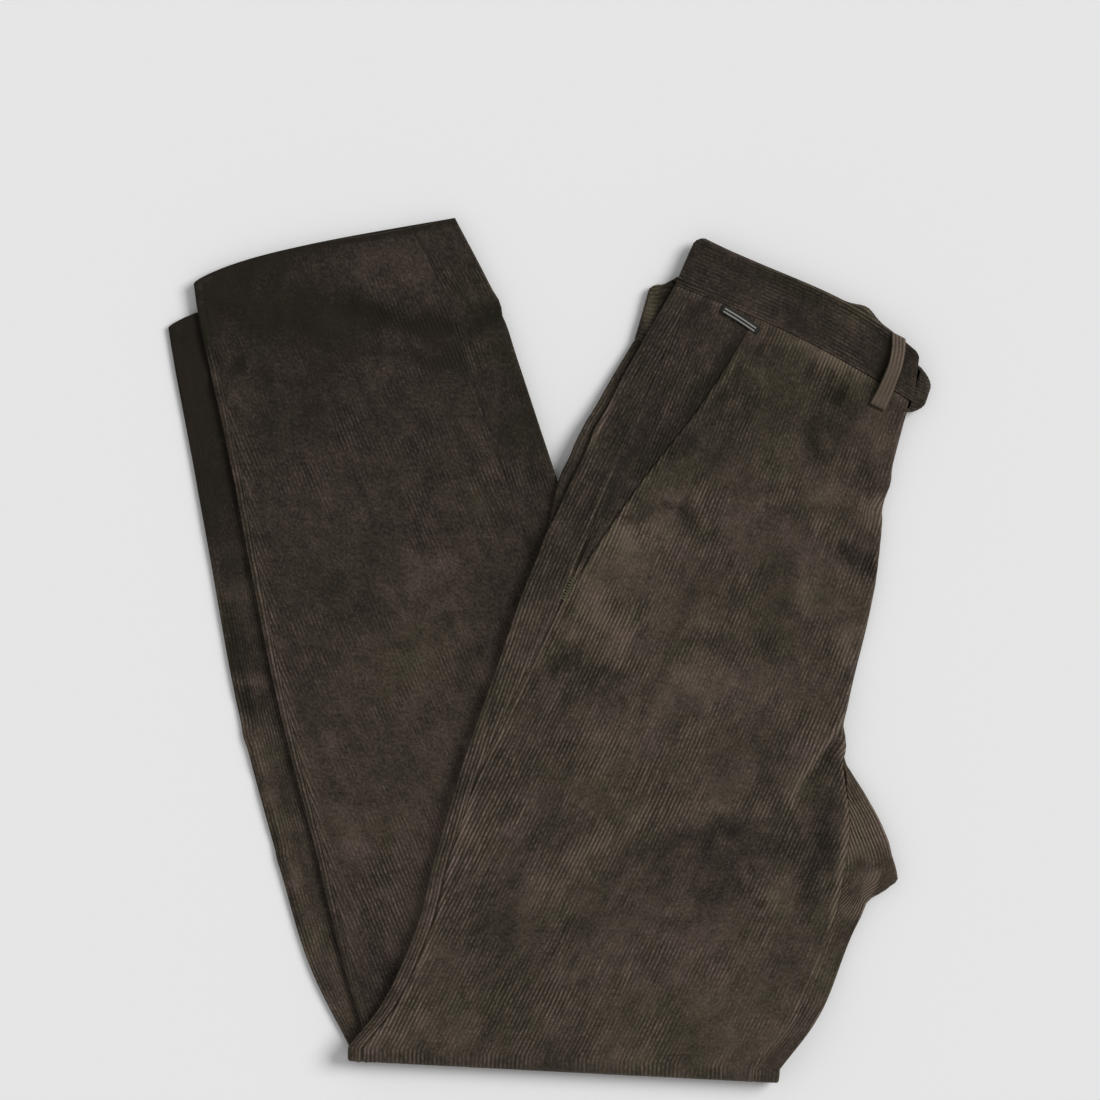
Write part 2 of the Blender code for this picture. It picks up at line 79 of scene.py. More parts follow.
# How the upper legs come down from the lower legs to the surface
STEP_LINE = ((3.0, 118.3), (152.3, -279.7))  # right edge of the lower legs
STEP_LONG = 80.0  # they come down over this length beyond it
BAND_LIFT = 2.25  # the waistband holds the hip up by this much
BAND_LIFT_FROM = 14.0  # fully, to this far below the waist seam
BAND_LIFT_LONG = 60.0  # and fades over this length

# Left and right edge x y, side seam and pocket mouth from the left edge, inseam from the right
RIGHT_UPPER = (
    (82.3, 243, 239.7, 165.3, 12, 58, 8),
    (49, 184.3, 225, 109, 19, 55, 8),
    (15.7, 117.7, 216.3, 39.7, 23, 41, 8),
    (-15, 49, 200.3, -27, 27, 29, 8),
    (-38.3, -17, 196.3, -68.3, 19, 19, 3),
    (-59.7, -77, 221.7, -119, 13, 13, 23),
    (-78.3, -140.3, 230.3, -151, 10, 10, 35),
    (-89.7, -183.7, 204.3, -183.7, 10, 10, 17),
    (-111, -232.3, 180.3, -241.7, 10, 10, 17),
    (-135.7, -265, 152.3, -279.7, 10, 10, 17),
)
RIGHT_LOWER = (
    (-135.7, -265, 152.3, -279.7, 10, 10, 17),
    (-163.7, -207, 122.3, -210.3, 9, 9, 22),
    (-187, -127, 77.7, -130.3, 8, 8, 28),
    (-210.5, -37, 36.3, -37, 8, 8, 30),
    (-228.3, 59.7, 3, 59.7, 8, 8, 30),
    (-240.3, 126.3, -19, 119.7, 8, 8, 30),
    (-251.7, 186.3, -41, 176.3, 8, 8, 30),
    (-256.3, 214.3, -82.3, 258.3, 8, 8, 28),
)
LEFT_UPPER = (
    (55, 206.3, 237.7, 158.3, 12, 58, 8),
    (32.3, 167.7, 224, 102.3, 19, 55, 8),
    (5.7, 116.3, 215, 33, 23, 41, 8),
    (-7, 55, 199.7, -32.3, 27, 29, 8),
    (-30.3, -17, 194.3, -71.7, 19, 19, 3),
    (-51.7, -77, 213.7, -120.3, 13, 13, 20),
    (-70.3, -140.3, 221.7, -149.7, 10, 10, 32),
    (-81.7, -183.7, 196.3, -183.7, 9, 9, 20),
    (-101, -232.3, 172.3, -239, 8, 8, 22),
    (-122.3, -265.7, 143, -279.2, 8, 8, 25),
)
LEFT_LOWER = (
    (-122.3, -265.7, 143, -279.2, 8, 8, 25),
    (-140.3, -207, 118.3, -207, 7, 7, 28),
    (-159.7, -127, 88.3, -127, 6, 6, 31),
    (-183.5, -33.7, 54.3, -33.7, 6, 6, 34),
    (-202.3, 59.7, 22.3, 59.7, 6, 6, 35),
    (-215, 126.3, -0.3, 126.3, 6, 6, 35),
    (-229.7, 193, -22.3, 193, 6, 6, 35),
    (-236, 223, -36, 233, 6, 6, 33),
    (-239, 243.7, -64.3, 288.3, 6, 6, 30),
)
# How far the hem, the waist seam and the band's top edge bow out
HEM_BOW, WAIST_BOW, BAND_TOP_BOW = 7.5, 5.0, 7.0
HEM_BOW_ROWS, WAIST_BOW_ROWS = 1.0, 0.5  # the bows fade over this much of a table's row
HEM_SKEW = 0.6  # under 1, the bow is fullest towards the left edge
HEM_PULL = 2.2  # the front's hem lies this far inside the back's
HEM_PULL_AT, HEM_PULL_WIDE = 0.74, 0.24  # shares of the hem's width
HEM_PULL_ROWS = 0.35  # it fades over this much of a table's row
CROTCH_ROW = 4.0  # place of the crotch in the upper tables
JOIN_FADE = 0.5  # the two legs part over this much of a table's row

# Corduroy
WALE_PARTS = 4  # columns to a wale
ROW_STEP = 4.5  # from one row along the cloth to the next
CURVE_STEPS = 40  # steps of the curve between two rows of a table
KNEE_STEPS = 14  # steps of the half turn at the knee
UNTURNED, TURNED = 1e-6, math.pi - 1e-6  # less is the upper run, more the lower one
LATTICE = 64  # values each way under the random waves
TAPER, TAPER_LEAST = 0.6, 0.001  # how a stroke thins out towards its ends

# The rows of a leg or a band. side is 1 for the right one and -1 for the left one. left, across
# and width are each row's left edge, direction and width, turn its turn at the knee, seam, mouth
# and inseam the table's distances, bow and skew its curve in plan, at its place in the table.
Leg = namedtuple("Leg", "side left across width turn seam mouth inseam bow skew at")


# ---------------- shape functions

def smooth_fall(distance, length):
    """1 up to distance 0, 0 past length, half a cosine between."""
    return 0.5 + 0.5 * np.cos(np.pi * np.clip(distance / length, 0.0, 1.0))


def bell(distance, wide):
    """1 at distance 0 and falling like a bell curve."""
    return np.exp(-(distance / wide) ** 2)


def signed_distance(plan, start, end):
    """Distance of plan points to the right of the line that runs from start to end."""
    start, end = np.array(start), np.array(end)
    along = (end - start) / np.linalg.norm(end - start)
    return (plan - start) @ np.array([along[1], -along[0]])


def ripple(plan, size, seed):
    """Smooth random waves between -1 and 1: a seeded lattice of values, eased between."""
    rng = np.random.default_rng(seed)
    lattice = rng.uniform(-1.0, 1.0, (LATTICE, LATTICE))
    cell = plan / size + LATTICE / 2
    low = np.floor(cell).astype(int)
    t = cell - low
    t = t * t * (3.0 - 2.0 * t)
    x, y = low[..., 0] % LATTICE, low[..., 1] % LATTICE
    right, up = (x + 1) % LATTICE, (y + 1) % LATTICE
    bottom = lattice[x, y] * (1 - t[..., 0]) + lattice[right, y] * t[..., 0]
    top = lattice[x, up] * (1 - t[..., 0]) + lattice[right, up] * t[..., 0]
    return bottom * (1 - t[..., 1]) + top * t[..., 1]


def stroke(plan, points, wide, lean=0.0):
    """A bell across a line of points that tapers to its ends; lean makes one flank steeper."""
    points = np.array(points, dtype=float)
    lengths = np.linalg.norm(np.diff(points, axis=0), axis=1)
    starts = np.concatenate([[0.0], np.cumsum(lengths)[:-1]])
    nearest = np.full(plan.shape[:-1], 1e9)
    share = np.zeros(plan.shape[:-1])
    side = np.zeros(plan.shape[:-1])
    for start, end, length, before in zip(points, points[1:], lengths, starts):
        along = (end - start) / length
        offset = plan - start
        t = np.clip(offset @ along, 0.0, length)
        away = np.linalg.norm(offset - t[..., None] * along, axis=-1)
        closer = away < nearest
        nearest = np.where(closer, away, nearest)
        share = np.where(closer, (before + t) / lengths.sum(), share)
        side = np.where(closer, np.sign(offset @ np.array([along[1], -along[0]])), side)
    taper = np.sin(np.pi * np.clip(share, 0.0, 1.0)) ** TAPER
    taper = taper * (1.0 - TAPER_LEAST) + TAPER_LEAST
    return bell(nearest, wide * (1.0 - lean * side)) * taper


# Folds of the cloth: points, width, height, and where one flank is steeper how far it leans right
TOP_FOLDS = (
    (((137, 212), (172, 199), (212, 176)), 9, 1.7, 0.2),
    (((212, -22), (194, -47), (178, -70), (166, -86), (160, -99), (163, -116)), 11, 2.8, -0.8),
    (((50, -147), (78, -130), (112, -123), (138, -128), (166, -139)), 12, -1.5),
    (((40, -171), (70, -138), (112, -126), (136, -134), (162, -142)), 8, -1.2),
    (((8, -90), (24, -106), (37, -122)), 3, 0.35),
    (((124, -137), (138, -152), (153, -172)), 11, 1.3),
    (((4, -150), (30, -134), (59, -112)), 13, 1.5),
    (((186, 114), (202, 110), (218, 102)), 7, -1.4, -0.3),
    (((184, 98), (205, 93), (216, 88)), 10, 0.9),
    (((188, 67), (203, 60), (216, 51)), 6, -1.5),
    (((-18, -24), (4, -10), (22, 0)), 6, -1.2),
    (((22, 0), (46, -6), (72, 6)), 8, -0.9),
    (((2, 90), (14, 88), (26, 80)), 8, -1.5),
    (((24, 56), (42, 66), (62, 84)), 15, 1.5),
    (((163, 22), (168, 8), (166, -4)), 6, -0.8),
    (((150, 150), (170, 132), (186, 118)), 8, -1),
    (((160, 166), (182, 150), (206, 140)), 9, 0.8),
    (((176, 178), (186, 168), (199, 172)), 7, -0.9),
    (((85, -163), (110, -166), (128, -158)), 8, -0.9),
    (((108, -52), (120, -62), (124, -74)), 7, -0.6),
    (((60, 110), (52, 122), (58, 134)), 7, -0.8),
    (((-92, -200), (-40, -190), (30, -206)), 16, -1.1),
    (((-60, -225), (20, -218), (110, -236)), 14, 1.2),
    (((60, -240), (120, -226), (170, -232)), 12, -1),
)
LOW_FOLDS = (
    (((-144, 246), (-122, 238), (-102, 233), (-79, 231), (-52, 236)), 9, 1.9),
    (((-150, 226), (-119, 214), (-80, 212), (-35, 226)), 10, -1.7),
    (((-236, 227), (-220, 222), (-206, 218)), 8, -1.5),
    (((-236, 190), (-222, 186), (-204, 188)), 8, -1.4),
    (((-228, 178), (-216, 176), (-206, 180)), 6, 0.8),
    (((-141, -47), (-90, -22), (-34, 0)), 16, 1.2),
    (((-101, 33), (-76, 48), (-48, 66)), 12, 1),
    (((-150, -66), (-96, -44), (-40, -24)), 13, -0.9),
    (((-152, -128), (-140, -132), (-126, -128)), 9, 0.8),
    (((-150, -96), (-138, -104), (-120, -102)), 7, -0.9),
    (((-212, -34), (-204, -38), (-196, -34)), 5, -1),
    (((-204, -86), (-194, -88), (-186, -84)), 5, -1),
    (((-192, -124), (-182, -128), (-176, -122)), 5, -0.8),
)
UNDER_FOLDS = (
    (((60, 180), (110, 150), (160, 140)), 12, 0.9),
    (((90, 120), (140, 80), (190, 70)), 11, 0.8),
    (((120, 20), (160, -10), (190, -20)), 12, 0.9),
    (((-190, 120), (-130, 140), (-70, 130)), 12, 0.9),
    (((-170, 10), (-110, -10), (-30, 10)), 13, 0.9),
    (((-140, -130), (-60, -110), (20, -120)), 12, 0.8),
    (((-110, -220), (-20, -200), (70, -214)), 13, 0.9),
)
FOLD_GAIN = 2.2  # true height of a fold, for a height of 1 in its table


def folds(plan, table):
    """Sum of a table's folds."""
    height = np.zeros(plan.shape[:-1])
    for points, wide, high, *lean in table:
        height += high * stroke(plan, points, wide, *lean)
    return FOLD_GAIN * height


# Small shifts of the outline: centre, reach, shift
UPPER_NUDGES = (
    ((216, 95), 7, (-2.6, 0)),
    ((226, 111), 7, (1.6, 0)),
    ((231, -138), 9, (-2.2, 0)),
    ((229, -152), 4, (1.6, -2)),
    ((213, -167), 9, (-4, 2)),
    ((193, -60), 7, (2.7, 0)),
    ((194, -67), 4.5, (2.2, 0)),
    ((31, 148), 8, (-1.5, 0.5)),
    ((13, 128), 7, (1.2, 0)),
    ((-7, 78), 8, (-1.2, 0)),
)
LOWER_NUDGES = (
    ((-37, 231), 6, (1.5, 0)),
    ((-34, 222), 5, (-1, 0)),
    ((-202, -58), 6, (-1.2, 0)),
    ((-178, -140), 5, (-1.5, 0)),
)


def nudged(plan, nudges):
    """Plan points with the outline's small shifts, each a bell around its centre."""
    shift = np.zeros_like(plan)
    for centre, reach, move in nudges:
        away = np.linalg.norm(plan - np.array(centre, dtype=float), axis=-1)
        shift += bell(away, reach)[..., None] * np.array(move)
    return plan + shift


def ripples(plan, table, start=0.0):
    """Start and the random waves of a table, with height, size and seed for each."""
    return sum((high * ripple(plan, size, seed) for high, size, seed in table), start)


CLOTH_WAVES = ((0.6, 46, 5), (0.45, 19, 6), (0.3, 9, 7), (0.1, 5, 8))
CALM_FROM, CALM_LONG = 40.0, 34.0  # folds fade from this far before the knee, over this length
BELOW, ABOVE = -0.2, 1.3  # furthest shares of the folds, for trim below and above


def cloth_waves(plan):
    """The cloth's small unevenness."""
    return ripples(plan, CLOTH_WAVES)


def knee_out():
    """Unit vector in plan, out of the knee fold."""
    lx, ly, rx, ry = RIGHT_UPPER[-1][:4]
    along = np.array([rx - lx, ry - ly]) / math.hypot(rx - lx, ry - ly)
    return np.array([along[1], -along[0]])


def before_knee(plan):
    """Distance in plan from the knee line, towards the waist and the hems."""
    return -(plan - np.array(RIGHT_UPPER[-1][:2])) @ knee_out()


def off_knee(plan):
    """Share of the folds' height at plan points: 1, and falling to 0 before the knee."""
    return smooth_fall(CALM_FROM - before_knee(plan), CALM_LONG)


def layer_share(q):
    """0 in the lowest layer of a pair of legs and 1 in the highest, a little past for trim."""
    return np.clip((q - LOW_Q) / (HIGH_Q - LOW_Q), BELOW, ABOVE)


def rest_height(plan):
    """Height of the knee axis's level under the upper legs: down the step, up at the band."""
    step = smooth_fall(-signed_distance(plan, *STEP_LINE), STEP_LONG)
    lx, ly, rx, ry = LEFT_UPPER[0][:4]
    below_band = signed_distance(plan, (lx, ly), (rx, ry))
    lift = BAND_LIFT * smooth_fall(below_band - BAND_LIFT_FROM, BAND_LIFT_LONG)
    return -INNER_AIR + (KNEE_Z + INNER_AIR) * step + lift * (1.0 - step)


def spaced_rows(table, spacing):
    """Catmull-Rom curve through a table's rows, cut into rows of equal spacing."""
    table = np.array(table)
    padded = np.vstack([2 * table[0] - table[1], table, 2 * table[-1] - table[-2]])
    at = np.linspace(0.0, len(table) - 1, CURVE_STEPS * (len(table) - 1) + 1)
    k = np.minimum(at.astype(int), len(table) - 2)
    t = (at - k)[:, None]
    p0, p1, p2, p3 = (padded[k + i] for i in range(4))
    curve = 0.5 * (2 * p1 + (p2 - p0) * t + (2 * p0 - 5 * p1 + 4 * p2 - p3) * t ** 2
                   + (3 * p1 - p0 - 3 * p2 + p3) * t ** 3)
    middle = (curve[:, 0:2] + curve[:, 2:4]) / 2
    run = np.concatenate([[0.0], np.cumsum(np.linalg.norm(np.diff(middle, axis=0), axis=1))])
    even = np.linspace(0.0, run[-1], round(run[-1] / spacing) + 1)
    rows = np.stack([np.interp(even, run, column) for column in curve.T], axis=1)
    return rows, np.interp(even, run, at)


def make_leg(side, upper, lower):
    """The rows of one leg: its upper run, the turn at the knee, its lower run."""
    over, over_at = spaced_rows(upper, ROW_STEP)
    under, under_at = spaced_rows(lower, ROW_STEP)
    knee = np.repeat(over[-1:], KNEE_STEPS - 1, axis=0)
    rows = np.vstack([over, knee, under])
    turn = np.concatenate([np.zeros(len(over)),
                           np.arange(1, KNEE_STEPS) * np.pi / KNEE_STEPS,
                           np.full(len(under), np.pi)])
    at = np.concatenate([over_at, np.full(len(knee), over_at[-1]), over_at[-1] + under_at])
    left, right = rows[:, 0:2], rows[:, 2:4]
    width = np.linalg.norm(right - left, axis=1)
    bow = np.zeros(len(rows))
    to_hem = under_at[-1] - under_at
    bow[:len(over)] = WAIST_BOW * np.clip(1.0 - over_at / WAIST_BOW_ROWS, 0.0, 1.0)
    bow[-len(under):] = HEM_BOW * np.clip(1.0 - to_hem / HEM_BOW_ROWS, 0.0, 1.0)
    skew = np.where(turn > TURNED, HEM_SKEW, 1.0)
    return Leg(side, left, (right - left) / width[:, None], width, turn,
               rows[:, 4], rows[:, 5], rows[:, 6], bow, skew, at)


def place(leg, a, h):
    """Points in millimetres of section coordinates a and h at every row of a leg."""
    plan = leg.left[:, None, :] + leg.across[:, None, :] * a[..., None]
    bow_out = np.stack([-leg.across[:, 1], leg.across[:, 0]], axis=1)[:, None, :]
    share = np.clip(a / leg.width[:, None], 0.0, 1.0)
    bow = leg.bow[:, None] * np.sin(np.pi * share ** leg.skew[:, None])
    to_hem = (leg.at[-1] - leg.at)[:, None]
    in_front = np.clip((h - BACK_H) / (FRONT_H - BACK_H), 0.0, 1.0)
    pulled = HEM_PULL * bell(share - HEM_PULL_AT, HEM_PULL_WIDE) \
        * smooth_fall(to_hem, HEM_PULL_ROWS) * in_front
    hemmed = (leg.turn > TURNED)[:, None]
    plan = plan + bow_out * (bow - pulled * hemmed)[..., None]
    q = LEGS_Q + leg.side * h
    turn = np.broadcast_to(leg.turn[:, None], q.shape)
    high = layer_share(q)
    still = off_knee(plan)
    waves = cloth_waves(plan)
    over = (folds(plan, TOP_FOLDS) + waves) * still
    below = (folds(plan, LOW_FOLDS) + waves) * still
    under = folds(plan, UNDER_FOLDS) * still
    upper_z = rest_height(plan) + q + over * high + under * (1.0 - high)
    lower_z = KNEE_Z - q + below * (1.0 - high) + under * high
    z = np.where(turn < UNTURNED, upper_z,
                 np.where(turn > TURNED, lower_z, KNEE_Z + q * np.cos(turn)))
    upper = (leg.turn < math.pi / 2)[:, None, None]
    plan = np.where(upper, nudged(plan, UPPER_NUDGES), nudged(plan, LOWER_NUDGES))
    plan = plan + knee_out() * (q * np.sin(turn))[..., None]
    return np.concatenate([plan, z[..., None]], axis=-1)


def along_path(path, start_a, start_h, heading, stretches):
    """a, h and heading at each distance along a path of straight and rounded stretches."""
    a = np.zeros_like(path) + start_a
    h = np.zeros_like(path) + start_h
    turned = np.full_like(path, heading)
    before = np.zeros((path.shape[0], 1))
    for length, sweep in stretches:
        done = np.clip(path - before, 0.0, length)
        if sweep:
            radius = length / sweep
            after = turned + done / radius
            a = a + radius * (np.sin(after) - np.sin(turned))
            h = h - radius * (np.cos(after) - np.cos(turned))
            turned = after
        else:
            a = a + done * np.cos(turned)
            h = h + done * np.sin(turned)
        before = before + length
    return a, h, turned


# ---------------- wales

WALE_TURN = math.radians(24.3)  # the upper legs' wales slant by this from upright
FAN, FAN_MIDDLE, FAN_LONG = 0.00037, 60.0, 180.0  # how they fan: strength, level, reach
LOWER_SHEAR = math.tan(math.radians(2.7))  # those of the lower legs lean by this
WALE_ROUND = 0.7  # under 1, the wales are broad and the furrows narrow
PAST_EDGE, GRAIN_SAMPLES = 12.0, 150  # where the grain is sampled across a row


def grain_upper(plan):
    """Distance across the wales of the upper legs: slanting lines that fan a little."""
    x, y = plan[..., 0], plan[..., 1]
    fan = FAN * x * FAN_LONG * np.tanh((y - FAN_MIDDLE) / FAN_LONG)
    return x * math.cos(WALE_TURN) - y * math.sin(WALE_TURN) + fan


def grain_lower(plan):
    """The same beyond the knee: the plan mirrored in the knee line and sheared a little."""
    out = knee_out()
    away = before_knee(plan)
    fold = np.array([-out[1], out[0]])
    mirrored = plan + (2.0 * away)[..., None] * out + (LOWER_SHEAR * away)[..., None] * fold
    return grain_upper(mirrored)


def wale(grain, pitch):
    """Height of the pile, 0 in the furrows and 1 on the wales: a rounded arch for each."""
    return np.abs(np.sin(np.pi * grain / pitch)) ** WALE_ROUND


# ---------------- meshes

def add_item(name, data):
    """A new object of the scene for a mesh, a light or a camera."""
    item = bpy.data.objects.new(name, data)
    bpy.context.scene.collection.objects.link(item)
    return item


def cells(index):
    """The four corners of each cell of a grid of point numbers, in turning order."""
    return np.stack([index[..., :-1, :-1], index[..., 1:, :-1], index[..., 1:, 1:],
                     index[..., :-1, 1:]], axis=-1)


def plain_item(name, points, quads):
    """An object of four-sided faces."""
    mesh = bpy.data.meshes.new(name)
    mesh.from_pydata(points.reshape(-1, 3).tolist(), [], quads.reshape(-1, 4).tolist())
    return add_item(name, mesh)


def build(name, outer, inner, outer_keep, inner_keep, grain, pile_and_painted_light, flip):
    """A closed shell between two grids. keep names, for each place of the grid, the column
    that stands for it in its row, so that cells beyond a row's ends or between coarse
    columns shrink to nothing and are left out."""
    rows, columns = outer_keep.shape
    first = np.arange(rows)[:, None] * columns
    outside = first + outer_keep
    inside = first + inner_keep + rows * columns
    rim_out, rim_in = (np.concatenate([grid[0, ::-1], grid[1:, 0], grid[-1, 1:], grid[-2::-1, -1]])
                       for grid in (outside, inside))
    quads = [cells(outside), cells(inside)[..., [0, 3, 2, 1]],
             np.stack([rim_out[:-1], rim_in[:-1], rim_in[1:], rim_out[1:]], -1)]
    quads = np.concatenate([q.reshape(-1, 4) for q in quads])
    triangles = np.concatenate([quads[:, [0, 1, 2]], quads[:, [0, 2, 3]]])
    whole = ((triangles[:, 0] != triangles[:, 1]) & (triangles[:, 1] != triangles[:, 2])
             & (triangles[:, 2] != triangles[:, 0]))
    triangles = triangles[whole][:, ::-1 if flip else 1]
    points = np.concatenate([outer.reshape(-1, 3), inner.reshape(-1, 3)])
    used, triangles = np.unique(triangles, return_inverse=True)
    triangles = triangles.reshape(-1, 3)
    points = (points[used] + np.array(ORIGIN)) * MM
    mesh = bpy.data.meshes.new(name)
    mesh.vertices.add(len(points))
    mesh.vertices.foreach_set("co", points.astype(np.float32).ravel())
    mesh.loops.add(triangles.size)
    mesh.loops.foreach_set("vertex_index", triangles.ravel().astype(np.int32))
    mesh.polygons.add(len(triangles))
    mesh.polygons.foreach_set("loop_start", np.arange(0, triangles.size, 3, dtype=np.int32))
    uv = np.concatenate([grain.reshape(-1, 2)] * 2)[used][triangles.ravel()] * MM
    layer = mesh.uv_layers.new(name="grain")
    layer.uv.foreach_set("vector", uv.astype(np.float32).ravel())
    # The pile's lightness carries painted shade and highlights along with its own tone
    values = np.concatenate([pile_and_painted_light.reshape(-1, 3)] * 2)[used]
    for column, key in enumerate(("light", "warm", "crisp")):
        mesh.attributes.new(key, "FLOAT", "POINT").data.foreach_set(
            "value", values[:, column].astype(np.float32))
    mesh.update()
    mesh.validate()
    mesh.shade_smooth()
    return add_item(name, mesh)


def snapped(columns, first, last, group, middle=(0, 0)):
    """For each row, the column that stands for each column, in limits: every group-th one,
    and each one of a middle that is coarse already."""
    near = np.arange(columns)
    start, end = middle
    near[:start] = near[:start] // group * group
    near[end:] = end + (near[end:] - end) // group * group
    return np.clip(near[None, :], first[:, None], last[:, None])


def limits(path, low, high):
    """The last column at or before low and the first at or past high, for each row."""
    columns = path.shape[1]
    first = np.maximum((path <= low[:, None]).sum(axis=1) - 1, 0)
    last = np.minimum((path < high[:, None]).sum(axis=1), columns - 1)
    return first, last


def wale_columns(leg, low, high, step):
    """Path distances and grain at which columns run along the wales, kept between low and
    high: the grain across each row is turned round to give the distance for each column."""
    far = np.linspace(-PAST_EDGE, leg.width.max() + PAST_EDGE, GRAIN_SAMPLES)
    plan = leg.left[:, None, :] + leg.across[:, None, :] * far[None, :, None]
    upper = (leg.turn < TURNED)[:, None]
    grain = np.where(upper, grain_upper(plan), grain_lower(plan))
    lowest = min(np.interp(lo, far, g) for lo, g in zip(low, grain))
    highest = max(np.interp(hi, far, g) for hi, g in zip(high, grain))
    lines = np.arange(math.floor(lowest / step), math.ceil(highest / step) + 1) * step
    path = np.stack([np.interp(lines, g, far) for g in grain])
    first, last = limits(path, low, high)
    path = np.clip(path, low[:, None], high[:, None])
    across = np.stack([np.interp(p, far, g) for p, g in zip(path, grain)])
    return path, across, first, last


# Seams: the furrow's depth and half width, the ridge's height, place and half width
SEAM_DIP, SEAM_DIP_WIDE = 0.3, 0.8
SEAM_RIDGE, SEAM_RIDGE_AT, SEAM_RIDGE_WIDE = 0.45, 2.4, 1.7
# How strongly the seams show, between 0 and 1. The right side seam's share goes by the table.
INSEAM_SHOW = 0.35
LEFT_SEAM_SHOW = 0.15
RIGHT_SEAM_SHOW = ((0.0, 1.0, 2.6), (0.3, 0.45, 1.0))
SEAM_FADE = 8.0  # the pile beside a seam that hardly shows counts as this far off
INSEAM_FADES = {1.0: 1.0, -1.0: 5.0}  # the same at the right and the left leg's inseam
FAR = 99.0  # far enough from a rim or a seam to take no mark from it


def seam_dip(distance, show):
    """Both sides of a seam: the cloth turns down at it and stands proud beside it."""
    return show * (-SEAM_DIP * bell(distance, SEAM_DIP_WIDE)
                   + SEAM_RIDGE * bell(distance - SEAM_RIDGE_AT, SEAM_RIDGE_WIDE))


def seam_show(leg):
    """How plainly a leg's seams show at each row: flatter near the waist and on the left leg."""
    if leg.side < 0:
        return np.full((len(leg.at), 1), LEFT_SEAM_SHOW)
    return np.interp(leg.at, *RIGHT_SEAM_SHOW)[:, None]


def run_along(leg):
    """Distance of each row from the waist."""
    middle = leg.left + leg.across * leg.width[:, None] / 2
    steps = np.linalg.norm(np.diff(middle, axis=0), axis=1)
    steps = np.maximum(steps, LEGS_Q * np.diff(leg.turn))
    return np.concatenate([[0.0], np.cumsum(steps)])


# The pile of one piece: its place in the random waves, its own lightness, how uneven that is,
# its warmth, its crispness and its placed strokes, nap patches and painted shade and highlights
Pile = namedtuple("Pile", "lot light uneven warm crisp patches")
# Painted shade and highlights are placed with the same strength as the nap patches
STROKE_GAIN = 1.5  # strength of the placed strokes
LOT_SHIFT = (37.0, 91.0)  # from one lot's place in the random waves to the next
# Random lightness: strength, size, seed and whether it is stretched along the wales
LIGHT_WAVES = ((0.13, 40, 11, False), (0.1, 26, 12, True), (0.05, 13, 13, False),
               (0.07, 8, 14, True), (0.04, 4, 15, False))
STREAK = 1.9  # stretched waves are this much narrower across the wales
WIDE_STROKE = 5.0  # wider strokes get a ragged edge
RAGGED = ((4.5, 17, 25, 26), (2, 6, 27, 28))  # shift, size and seeds of that edge
WARM_WAVES = ((0.35, 30, 21), (0.35, 11, 22))
CRISP_WAVES = ((0.5, 26, 23), (0.45, 10, 24))
MOST_CRISP = 1.3
# Painted shade in each seam, a painted highlight on the wales beside it, painted sheen on folded
# edges, and crisper wales at seams and edges, each with its half width
SEAM_SHADE, SEAM_SHADE_WIDE = 0.12, 0.8
BESIDE_HIGHLIGHT, BESIDE_AT, BESIDE_WIDE = 0.24, 2.2, 1.5
EDGE_SHEEN, EDGE_SHEEN_WIDE = 0.04, 5.0
SEAM_CRISP, EDGE_CRISP, CRISP_WIDE = 0.55, 0.35, 7.0


def uneven_light(own):
    """Random lightness of the pile: round patches and streaks along the wales, coarse to fine."""
    streaked = np.stack([grain_upper(own) * STREAK, own[..., 1]], axis=-1)
    return sum(high * ripple(streaked if stretched else own, size, seed)
               for high, size, seed, stretched in LIGHT_WAVES)


def pile_of(points, pile, seam_away, rim_away):
    """Lightness, warmth and crispness of the pile: smooth random patches, placed strokes of nap
    and of painted shade and highlights, painted shade at each seam with a painted highlight on
    the wales beside it, and painted sheen on folded edges."""
    plan = points[..., :2]
    own = plan + np.array(LOT_SHIFT) * pile.lot
    light = pile.light + pile.uneven * uneven_light(own)
    warm = ripples(own, WARM_WAVES, pile.warm)
    crisp = ripples(own, CRISP_WAVES, pile.crisp)
    blurred = plan
    for shift, size, seed_x, seed_y in RAGGED:
        blurred = blurred + np.stack([ripple(own, size, seed_x), ripple(own, size, seed_y)],
                                     axis=-1) * shift
    # Placed strokes: nap patches, plus painted shade in creases and under raised edges and painted
    # highlights on ridges
    for line, wide, *marks in pile.patches:
        lighter, warmer, crisper = (marks + [0, 0])[:3]
        spot = stroke(blurred if wide > WIDE_STROKE else plan, line, wide)
        light = light + STROKE_GAIN * lighter * spot
        warm, crisp = warm + warmer * spot, crisp + crisper * spot
    # Painted highlight beside each seam, painted shade in it and painted sheen on folded edges
    light = light + BESIDE_HIGHLIGHT * bell(seam_away - BESIDE_AT, BESIDE_WIDE) \
        - SEAM_SHADE * bell(seam_away, SEAM_SHADE_WIDE) + EDGE_SHEEN * bell(rim_away, EDGE_SHEEN_WIDE)
    crisp = crisp + SEAM_CRISP * bell(seam_away, CRISP_WIDE) + EDGE_CRISP * bell(rim_away, CRISP_WIDE)
    return np.stack([light, warm, np.clip(crisp, 0.0, MOST_CRISP)], axis=-1)
